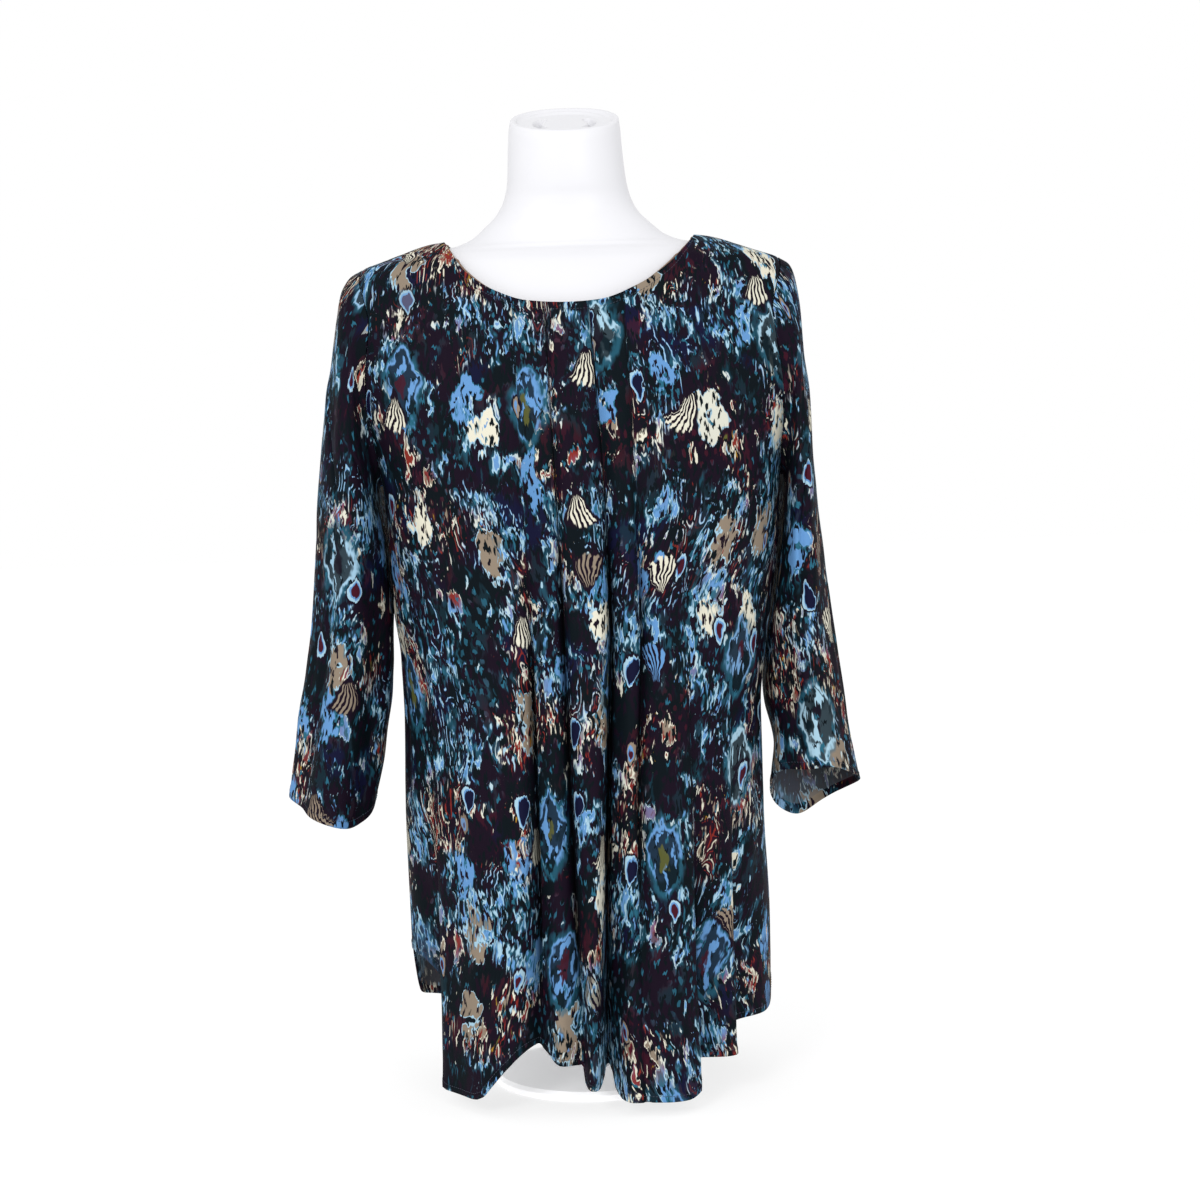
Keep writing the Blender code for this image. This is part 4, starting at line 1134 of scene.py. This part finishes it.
# %% [markdown]
# ## A short way to write materials
#
# A material in Blender is a graph of nodes. Drawn by hand it is quick to try out and slow to read. Here a
# small class stands for one output of a node, and the usual signs of arithmetic on it add the Math nodes,
# so that a formula in the code is the same formula in the material. One method makes every other kind of
# node.

# %% Wire and Paint
def sign_of(operation):
    """What a sign of arithmetic does: a Math node of this operation."""
    return lambda wire, other: wire.math(operation, wire, other)


class Wire:
    """A node's output that arithmetic can be written with."""

    def __init__(self, paint, socket):
        self.paint, self.socket = paint, socket

    def math(self, operation, *values, clamp=False):
        settings = {"operation": operation, "use_clamp": clamp}
        return self.paint.add("ShaderNodeMath", settings, dict(enumerate(values)))

    __add__ = __radd__ = sign_of("ADD")
    __sub__ = sign_of("SUBTRACT")
    __mul__ = __rmul__ = sign_of("MULTIPLY")
    __truediv__ = sign_of("DIVIDE")
    __pow__ = sign_of("POWER")

    def __rsub__(self, other):
        return self.math("SUBTRACT", other, self)

    def __abs__(self):
        return self.math("ABSOLUTE", self)

    def waves(self):
        return self.math("SINE", self)

    def ramp(self, low, high):
        """0 below low, 1 above high and smooth between; the other way round where low is above high."""
        return self.paint.add("ShaderNodeMapRange", {"interpolation_type": "SMOOTHSTEP"},
                              {0: self, 1: low, 2: high})

    def of(self, name):
        """Another output of the same node."""
        return Wire(self.paint, self.socket.node.outputs[name])


class Paint:
    """One material. add() makes a node of any kind: settings first, then its sockets' values or links."""

    def __init__(self, name):
        self.material = bpy.data.materials.new(name)
        self.material.use_nodes = True
        self.shader = self.material.node_tree.nodes["Principled BSDF"]
        self.colour = None

    def add(self, kind, settings=None, sockets=None, out=0):
        node = self.material.node_tree.nodes.new(kind)
        for key, value in (settings or {}).items():
            setattr(node, key, value)
        for key, value in (sockets or {}).items():
            self.feed(node.inputs[key], value)
        return Wire(self, node.outputs[out])

    def feed(self, socket, value):
        if isinstance(value, Wire):
            self.material.node_tree.links.new(value.socket, socket)
        else:
            socket.default_value = value

    def set(self, **sockets):
        """Feeds the shader's own sockets, named with _ for a space."""
        for name, value in sockets.items():
            self.feed(self.shader.inputs[name.replace("_", " ")], value)
        return self.material

    def mix(self, share, first, second):
        return self.add("ShaderNodeMix", {"data_type": "RGBA"}, {0: share, 6: first, 7: second}, out=2)

    def lay(self, share, tint):
        """Lays a tint over the colour so far, where the share is 1."""
        self.colour = self.mix(share, self.colour, tint)

    def point(self, x, y, z=0.0):
        return self.add("ShaderNodeCombineXYZ", {}, {0: x, 1: y, 2: z})

    def split(self, vector):
        first = self.add("ShaderNodeSeparateXYZ", {}, {0: vector})
        return first, first.of("Y"), first.of("Z")

    def noise(self, where, scale=1.0, detail=1.0):
        return self.add("ShaderNodeTexNoise", {}, {"Vector": where, "Scale": scale, "Detail": detail})

    def cloud(self, x, y, wide, tall, start=0.0, detail=1.0):
        """A noise on the flat cloth, with so many waves to a metre across and up."""
        return self.noise(self.point(x * wide, y * tall, start), detail=detail)

    def where(self):
        """Each point's place on its own object."""
        return self.add("ShaderNodeTexCoord", {}, out="Object")

    def bump(self, height, strength, distance):
        return self.add("ShaderNodeBump", {}, {"Height": height, "Strength": strength, "Distance": distance})


def ink(red, green, blue):
    """A colour given as on a screen, 0 to 255, turned to the shader's linear light."""
    share = np.array([red, green, blue]) / 255
    linear = np.where(share > 0.04045, ((share + 0.055) / 1.055) ** 2.4, share / 12.92)
    return (*linear.tolist(), 1.0)


print("navy is", [round(c, 4) for c in ink(24, 30, 48)])

# %% [markdown]
# ## The print
#
# Ikat is cloth whose threads are dyed before they are woven, so that every edge of the pattern is feathered
# along the threads. The blouse has a printed imitation: a nearly black ground of teal, aubergine and
# indigo, with eye-shaped medallions, drops, little fans of stripes, flat ragged patches, wavy lines and
# dots, and zones full of short upright strokes in blue, cream, rust and taupe. An image could hold it, but
# it would blur close up. This one is worked out at every point, in an order of its own: first the place is
# feathered, then layers are laid over one another. A ramp's two numbers say where a layer starts and where
# it is whole.

# %% Inks
LIT = 1.41                 # how much more light falls on the front than white paper needs


def dye(red, green, blue):
    """An ink that looks like this colour in the tent."""
    return tuple(c / LIT for c in ink(red, green, blue)[:3]) + (1.0,)


GROUND_TEAL, GROUND_PLUM, GROUND_INDIGO = dye(10, 20, 26), dye(26, 15, 31), dye(20, 22, 52)
SKY, ICE, TEAL, CREAM = dye(108, 160, 216), dye(176, 214, 234), dye(46, 108, 132), dye(240, 236, 216)
TAUPE, RUST, WINE, OLIVE = dye(152, 137, 120), dye(140, 48, 40), dye(74, 24, 40), dye(100, 102, 50)
# SHADE is the near black of the painted shade along the pleats
MUSTARD, CLOTH_GREY, SHADE, FAINT_TEAL = dye(178, 138, 46), dye(112, 116, 122), dye(4, 5, 8), dye(28, 58, 70)
STROKE_INKS = [(0.00, TEAL), (0.10, SKY), (0.25, ICE), (0.43, SKY), (0.50, ICE), (0.56, CREAM), (0.67, TAUPE),
               (0.73, RUST), (0.89, WINE), (0.94, MUSTARD), (0.97, OLIVE)]
print("inks for the strokes:", len(STROKE_INKS))

# %% Scattered motifs
class Motif:
    """Places scattered over the cloth, one to a cell about wide by tall: x and y from the nearest one in
    metres, the distance d in cells, and two random numbers for it."""

    def __init__(self, paint, u, v, wide, tall, start, even=0.0):
        across, up = u * (1 / wide) + start, v * (1 / tall) + 1.7 * start
        cell = paint.add("ShaderNodeTexVoronoi", {"voronoi_dimensions": "2D"},
                         {"Vector": paint.point(across, up), "Scale": 1.0, "Randomness": 1.0 - even})
        place_x, place_y, _ = paint.split(cell.of("Position"))
        self.x, self.y = (across - place_x) * wide, (up - place_y) * tall
        self.d = cell
        self.pick, self.other, _ = paint.split(cell.of("Color"))


def medallion(paint, u, v, uneven, broken):
    """A pointed eye, |x| / w + (y / h)^2 = 1, made uneven by a noise: a glow, a rim that comes and goes, a
    dark middle with torn marks, and a seed."""
    m = Motif(paint, u, v, 0.092, 0.126, 3.3, even=0.2)
    narrow = m.other * 0.006 + 0.0160
    d = abs(m.x) / narrow + (m.y * (1 / 0.036)) ** 2 + (uneven - 0.5) * 1.0 + (broken - 0.5) * 0.7
    here = m.pick.ramp(0.54, 0.56)
    rim = paint.mix(m.other.ramp(0.35, 0.65), SKY, ICE)
    paint.lay(d.ramp(1.35, 0.95) * here * 0.65, TEAL)
    whole = (uneven + m.y * 5.0).ramp(0.38, 0.52)
    paint.lay(d.ramp(1.04, 0.90) * here * whole, rim)
    paint.lay(d.ramp(0.84, 0.72) * here * 0.92, GROUND_TEAL)
    paint.lay(broken.ramp(0.56, 0.58) * d.ramp(0.74, 0.68) * here, rim)
    red = paint.mix(m.other.ramp(0.5, 0.52), WINE, GROUND_PLUM)
    seed = paint.mix(m.other.ramp(0.3, 0.32), OLIVE, red)
    paint.lay(d.ramp(0.19, 0.12) * here * 0.8, seed)


def flat_patch(paint, u, v, uneven, other):
    """A flat patch of one ink with a ragged outline, (x / w)^2 + (y / h)^2 + noise = 1, and a thin edge."""
    m = Motif(paint, u, v, 0.066, 0.082, 51.3, even=0.1)
    d = (m.x * (1 / 0.012)) ** 2 + (m.y * (1 / 0.020)) ** 2 + (uneven - 0.5) * 5.0 + (other - 0.5) * 5.0
    here = m.pick.ramp(0.52, 0.53)
    pale = paint.mix(m.other.ramp(0.74, 0.75), TAUPE, CREAM)
    tint, edge = (paint.mix(m.other.ramp(0.42, 0.43), *pair) for pair in ((SKY, pale), (TEAL, ICE)))
    paint.lay(d.ramp(1.30, 1.18) * here, edge)
    paint.lay(d.ramp(1.02, 0.94) * here, tint)


def drop(paint, u, v, uneven):
    """A drop: (x / w)^2 + (y / h)^2 + noise = 1 with w wider towards its top. It has a light ring round a
    middle of wine or indigo that lies off its centre."""
    m = Motif(paint, u, v, 0.048, 0.060, 8.1, even=0.1)
    high = m.y * (1 / 0.0115)
    wide = high * 0.42 + 0.70
    d = (m.x / (wide * 0.0074)) ** 2 + high ** 2 + (uneven - 0.5) * 1.3 + (m.other - 0.5) * 0.8
    inner = d + m.x * (m.other - 0.5) * 200.0
    here = m.pick.ramp(0.71, 0.73)
    rim = paint.mix(m.other.ramp(0.70, 0.80), ICE, TAUPE)
    paint.lay(d.ramp(1.7, 1.25) * here, GROUND_PLUM)
    paint.lay(d.ramp(1.06, 0.96) * here, rim)
    paint.lay(inner.ramp(0.70, 0.56) * d.ramp(0.9, 0.8) * here, SKY)
    core = paint.mix(m.other.ramp(0.30, 0.32), GROUND_INDIGO, WINE)
    paint.lay(inner.ramp(0.44, 0.34) * d.ramp(0.8, 0.7) * here, core)


def fan(paint, u, v):
    """A fan: stripes sin(46 a) at the angle a from upright, between two radii, leaning more further out."""
    m = Motif(paint, u, v, 0.098, 0.104, 12.6, even=0.1)
    upright = m.other.ramp(0.49, 0.51) * 2 - 1
    y = m.y * upright + 0.019
    radius = (m.x ** 2 + y ** 2) ** 0.5
    angle = m.x.math("ARCTAN2", m.x, y) + (m.pick - 0.74) * (radius - 0.018) * 70
    stripe = (angle * 46.0).waves()
    here = m.pick.ramp(0.62, 0.64)
    far = stripe * 0.0012 + (m.pick - 0.5) * 0.012 + 0.0345
    past = radius - far + angle ** 2 * 0.035
    inside = radius.ramp(0.0085, 0.0105) * past.ramp(0.0010, -0.0010)
    inside = inside * abs(angle).ramp(0.37, 0.34) * here
    around = radius.ramp(0.039, 0.035) * abs(angle).ramp(0.50, 0.42) * here
    paint.lay(around, GROUND_PLUM)
    darker = paint.mix(m.other.ramp(0.83, 0.84), TAUPE, SKY)
    tint = paint.mix(m.other.ramp(0.66, 0.68), CREAM, darker)
    light = (stripe + (radius - 0.02) * 22.0).ramp(0.00, 0.25)
    paint.lay(inside * light, tint)


def stroke_inks(paint, chance):
    """A ramp with steps: the share of each ink is the length of its step."""
    inks = paint.add("ShaderNodeValToRGB", {}, {0: chance})
    table = inks.socket.node.color_ramp
    table.interpolation = "CONSTANT"
    for place, _ in STROKE_INKS[2:]:
        table.elements.new(place)
    for element, (place, tint) in zip(table.elements, STROKE_INKS):
        element.position, element.color = place, tint
    return inks


def strokes(paint, u, v, wide, tall, start, size, chosen, warm, glow=0.0):
    """Short upright strokes, thick where size is large, with inks that go by chance and by the zone's warmth;
    each may lie in a wider, fainter stroke of teal or wine."""
    m = Motif(paint, u, v, wide, tall, start)
    some = m.other.ramp(chosen, chosen + 0.06)
    if glow:
        near = (size + 0.24 - m.d) * 3.4
        soft = near.math("MULTIPLY", near, some, clamp=True)
        paint.lay(soft * glow * size.ramp(0.08, 0.2), paint.mix(warm, TEAL, WINE))
    near = (size - m.d) * 9.0
    here = near.math("MULTIPLY", near, some, clamp=True)
    paint.lay(here, stroke_inks(paint, m.pick * 0.48 + warm * 0.52))


def ikat(paint):
    """The whole print at each place of the flat cloth, painted shade along the pleats, and the feathered
    threads that the surface repeats.
    """
    u, v, _ = paint.split(paint.add("ShaderNodeUVMap", {"uv_map": "flat"}))
    threads = paint.cloud(u, v, 560, 48)
    slow = paint.cloud(u, v, 70, 46, 4.0, 2.0)
    other = paint.cloud(u, v, 64, 50, 9.0, 2.0)
    x = u + (other - 0.5) * 0.014
    y = v + (threads - 0.5) * 0.017 + (slow - 0.5) * 0.018
    patch = paint.cloud(x, y, 24, 15, 1.0, 1.5)
    second = paint.cloud(x, y, 17, 12, 6.0)
    zone = paint.cloud(x, y, 20, 15, 2.0, 2.0).ramp(0.44, 0.62)
    warm = paint.cloud(x, y, 15, 12, 11.0, 2.0).ramp(0.455, 0.595)
    veil = paint.cloud(x, y, 62, 33, 5.0, 2.0)

    def either(cool, hot):
        """One ink in the cool zones, the other in the warm ones."""
        return paint.mix(warm, cool, hot)

    paint.colour = paint.mix(patch.ramp(0.47, 0.51), GROUND_TEAL, GROUND_PLUM)
    paint.lay(second.ramp(0.60, 0.66), GROUND_INDIGO)
    paint.lay(veil.ramp(0.57, 0.62) * 0.5, either(FAINT_TEAL, WINE))
    # faint rows of small diamonds where the ground is empty
    soft_x = u + (other - 0.5) * 0.010
    soft_y = v + (threads - 0.5) * 0.006 + (slow - 0.5) * 0.012
    rows = (soft_x * 560).waves() * (soft_y * 360).waves()
    empty = second.ramp(0.45, 0.41) * (1 - zone)
    paint.lay(rows.ramp(0.46, 0.62) * empty * 0.7, either(TEAL, WINE))
    # long wavy lines like the grain of wood, broken by the threads
    grain = (paint.cloud(u, v + other * (0.5 / 9), 34, 9, 71.0) * 95.0).waves()
    shown = paint.cloud(x, y, 13, 8, 77.0).ramp(0.53, 0.57) * (threads + veil).ramp(0.98, 1.06)
    paint.lay(grain.ramp(0.62, 0.78) * shown, either(SKY, TAUPE))
    paint.lay(grain.ramp(0.90, 0.95) * shown, either(ICE, CREAM))
    paint.lay(grain.ramp(-0.88, -0.94) * shown * warm, RUST)
    # nested contours, like hills on a map: a glow, a pale outline, a core and a seed
    hill = paint.cloud(x, y, 50, 26, 17.0, 2.0) + zone * 0.045 - 0.032
    paint.lay(hill.ramp(0.54, 0.61) * (1 - warm) * 0.6, TEAL)
    core = either(SKY, paint.mix(veil.ramp(0.47, 0.52), RUST, TAUPE))
    for start, tint in ((0.604, either(ICE, CREAM)), (0.624, core), (0.680, either(TEAL, RUST))):
        paint.lay(hill.ramp(start, start + 0.008), tint)
    flat_patch(paint, x, y, slow, other)
    # the same again, smaller and only in the zones, and two layers of strokes
    small = paint.cloud(x, y, 130, 52, 29.0, 1.5)
    spread = small - (1 - zone) * 0.11
    paint.lay(spread.ramp(0.53, 0.60) * (1 - warm) * 0.6, TEAL)
    paint.lay(spread.ramp(0.592, 0.606), either(ICE, CREAM))
    paint.lay(spread.ramp(0.640, 0.652), either(SKY, RUST))
    strokes(paint, x, y, 0.0050, 0.0145, 21.4, zone * 0.33 - 0.03, 0.42, warm, glow=0.8)
    strokes(paint, x, y, 0.0029, 0.0090, 61.7, zone * 0.34 - 0.01, 0.52, warm)
    # dark cuts in all of it, the medallions, dots, drops and fans, and the painted shade along the pleats
    dark = Motif(paint, x, y, 0.0054, 0.0115, 41.7)
    cut = dark.d.ramp(0.34, 0.27) * dark.pick.ramp(0.42, 0.44)
    paint.lay(cut, paint.mix(patch.ramp(0.47, 0.51), GROUND_PLUM, GROUND_TEAL))
    medallion(paint, soft_x, soft_y, slow, small)
    dots = Motif(paint, x, y, 0.0085, 0.0105, 30.2)
    spot = dots.d.ramp(0.22, 0.15)
    paint.lay(spot * dots.pick.ramp(0.56, 0.58), GROUND_TEAL)
    paint.lay(spot * dots.other.ramp(0.78, 0.80), TEAL)
    drop(paint, soft_x, soft_y, other)
    fan(paint, soft_x, soft_y)
    # painted shade: the attribute darkens the cloth towards near black along the pleats' edges
    painted_shade = paint.add("ShaderNodeAttribute", {"attribute_name": "painted_shade"}, out="Fac")
    paint.lay(painted_shade * 0.92, SHADE)
    return paint.colour, threads, u, v


# %% Printed cloth
def printed_cloth(name, faded):
    """The right side of the cloth, or the wrong side: the print mixed with the grey of the bare thread."""
    paint = Paint(name)
    colour, threads, u, v = ikat(paint)
    if faded:
        colour = paint.mix(faded, colour, CLOTH_GREY)
    weave = (u * 9000).waves() * (v * 9000).waves()
    return paint.set(
        Base_Color=colour, Roughness=threads * 0.22 + 0.60, IOR=1.14,
        Normal=paint.bump(weave * 0.4 + threads, 0.22, 0.00025),
    )


right_side = printed_cloth("printed_rayon", 0.0)
wrong_side = printed_cloth("printed_rayon_wrong_side", 0.42)
print(right_side.name, "has", len(right_side.node_tree.nodes), "nodes")

# %% [markdown]
# ## Thread, facing, form, post and plate
#
# The other finishes are plain, but none is one flat colour. Thread has a twist, the brown facing has a
# weave, the form's white shell is satin with a trace of moulding texture, the post is steel that was
# brushed round its axis, and the plate has the fine bumps of a powder coat. Each is a small formula on the
# object's own coordinates. The floor glows evenly, so that it stays white. The plate glows too: that glow
# is painted light, which brightens the shade that the skirt casts on it.

# %% Plain finishes
WHITE = (1.0, 1.0, 1.0, 1.0)


def thread_finish():
    paint = Paint("sewing_thread")
    twist = paint.noise(paint.where(), scale=2600, detail=1.0)
    return paint.set(Base_Color=paint.mix(twist, ink(18, 24, 38), ink(66, 74, 92)), Roughness=0.6,
                     Normal=paint.bump(twist, 0.4, 0.0001))


def facing_finish():
    paint = Paint("facing_weave")
    u, v, _ = paint.split(paint.add("ShaderNodeUVMap", {"uv_map": "flat"}))
    weave = (u * 6000).waves() * (v * 6000).waves()
    shade = paint.cloud(u, v, 90, 90, detail=2.0)
    return paint.set(Base_Color=paint.mix(shade, ink(96, 74, 60), ink(150, 122, 100)),
                     Roughness=shade * 0.2 + 0.65, Normal=paint.bump(weave, 0.25, 0.0002))


def shell_finish():
    paint = Paint("satin_shell")
    grain = paint.noise(paint.where(), scale=700, detail=2.0)
    cloud = paint.noise(paint.where(), scale=9, detail=2.0)
    return paint.set(Base_Color=paint.mix(cloud, ink(211, 211, 215), ink(216, 216, 219)),
                     Roughness=cloud * 0.12 + 0.36, Normal=paint.bump(grain, 0.05, 0.0002))


def post_finish():
    paint = Paint("brushed_steel")
    x, y, z = paint.split(paint.where())
    lines = paint.noise(paint.point(x * 40, y * 40, z * 5200), detail=2.0)
    return paint.set(Base_Color=paint.mix(lines, ink(176, 178, 182), ink(214, 216, 220)), Metallic=1.0,
                     Roughness=lines * 0.25 + 0.2, Normal=paint.bump(lines, 0.12, 0.0001))


def plate_finish():
    paint = Paint("powder_coat")
    grain = paint.noise(paint.where(), scale=1500, detail=1.0)
    # the emission is painted light: it brightens the shade that the skirt casts on the plate
    return paint.set(Base_Color=paint.mix(grain, ink(228, 228, 230), ink(236, 236, 238)),
                     Roughness=grain * 0.15 + 0.4, Emission_Color=WHITE, Emission_Strength=0.40,
                     Normal=paint.bump(grain, 0.25, 0.0002))


def floor_finish():
    paint = Paint("pale_floor")
    cloud = paint.noise(paint.where(), scale=3, detail=3.0)
    return paint.set(Base_Color=paint.mix(cloud, (0.28, 0.28, 0.28, 1.0), (0.30, 0.30, 0.30, 1.0)),
                     Roughness=0.9, Specular_IOR_Level=0.0, Emission_Color=WHITE, Emission_Strength=0.74)


thread, facing_cloth, shell = thread_finish(), facing_finish(), shell_finish()
floor.data.materials.append(floor_finish())
for node, finish in (("form_post", post_finish()), ("form_base", plate_finish())):
    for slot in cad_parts[node].material_slots:
        slot.material = finish
    print(node, "takes", finish.name)

# %% [markdown]
# ## Putting the blouse together
#
# Each piece is cut from another place on the same printed cloth, so no two match, as in the shop's blouse.
# Then every piece is hung from the body that carries it, and the CAD wall in its place is hidden. Its flat
# places measure the sleeve opened along its seam, the panels from shoulder to hem; the area of its cloth is
# worked out too, but nothing reads it.

# %% Cloth pieces
CUT_FROM = {"front_cloth": (0.0, 0.0), "back_cloth": (0.9, 0.25), "sleeve_left_cloth": (1.75, -0.31),
            "sleeve_right_cloth": (2.4, 0.43), "neck_facing_cloth": (3.1, 0.0)}


def hang(name, node, grid, flat, finishes, turn_over, stitches=(), painted_shade=None, hem_rows=0):
    """A finished cloth piece in the place of its CAD wall, which is hidden; its area is worked out but not
    used.
    """
    flat_place = flat + np.array(CUT_FROM[name])
    piece = grid_piece(name, grid, flat_place, finishes, turn_over, painted_shade, hem_rows)
    give_wall(piece)
    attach(piece, "root")
    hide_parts(node)
    for stitch in stitches:
        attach(stitch, "root")
    area = area_of(grid, closed=flat.shape[1] > grid.shape[1])


torso = closed_form("torso_shell", form_grid, shell)
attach(torso, "root")
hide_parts("form_torso")

# out, in, and the same for the hem, which is turned up inside and so shows its right side there too
pair = [right_side, wrong_side, right_side, right_side]
for side, name, grid, flat, painted_shade in ((FRONT, "front", front_grid, front_flat, front_painted_shade),
                                        (BACK, "back", back_grid, back_flat, back_painted_shade)):
    normal = outward(grid, side)
    keep = np.flatnonzero(np.abs(grid[0, :, 0]) < NECK_HALF - NECK_MARGIN)
    neck_line = line_below_top(grid, normal, keep)
    hem_line = (grid[HEM_STITCH] + normal[HEM_STITCH] * STITCH_LIFT, normal[HEM_STITCH])
    sewn = stitched(name + "_stitches", [neck_line, hem_line], thread)
    hang(name + "_cloth", name, grid, flat, pair, side == FRONT, [sewn], painted_shade, HEM_ROWS)

for name, sign in (("left", -1), ("right", 1)):
    grid, flat = sleeves[name]
    whole = np.concatenate([grid[:, -1:], grid, grid[:, :2]], axis=1)
    normal = outward(whole, sign)[HEM_STITCH, 1:-1]
    line = whole[HEM_STITCH, 1:-1] + normal * STITCH_LIFT
    sewn = stitched(f"sleeve_{name}_stitches", [(line, normal)], thread)
    hang(f"sleeve_{name}_cloth", f"sleeve_{name}", grid, flat, pair, name == "left", [sewn],
         hem_rows=HEM_ROWS)

hang("neck_facing_cloth", "neck_facing", facing_grid, facing_flat, [facing_cloth] * 2, True)
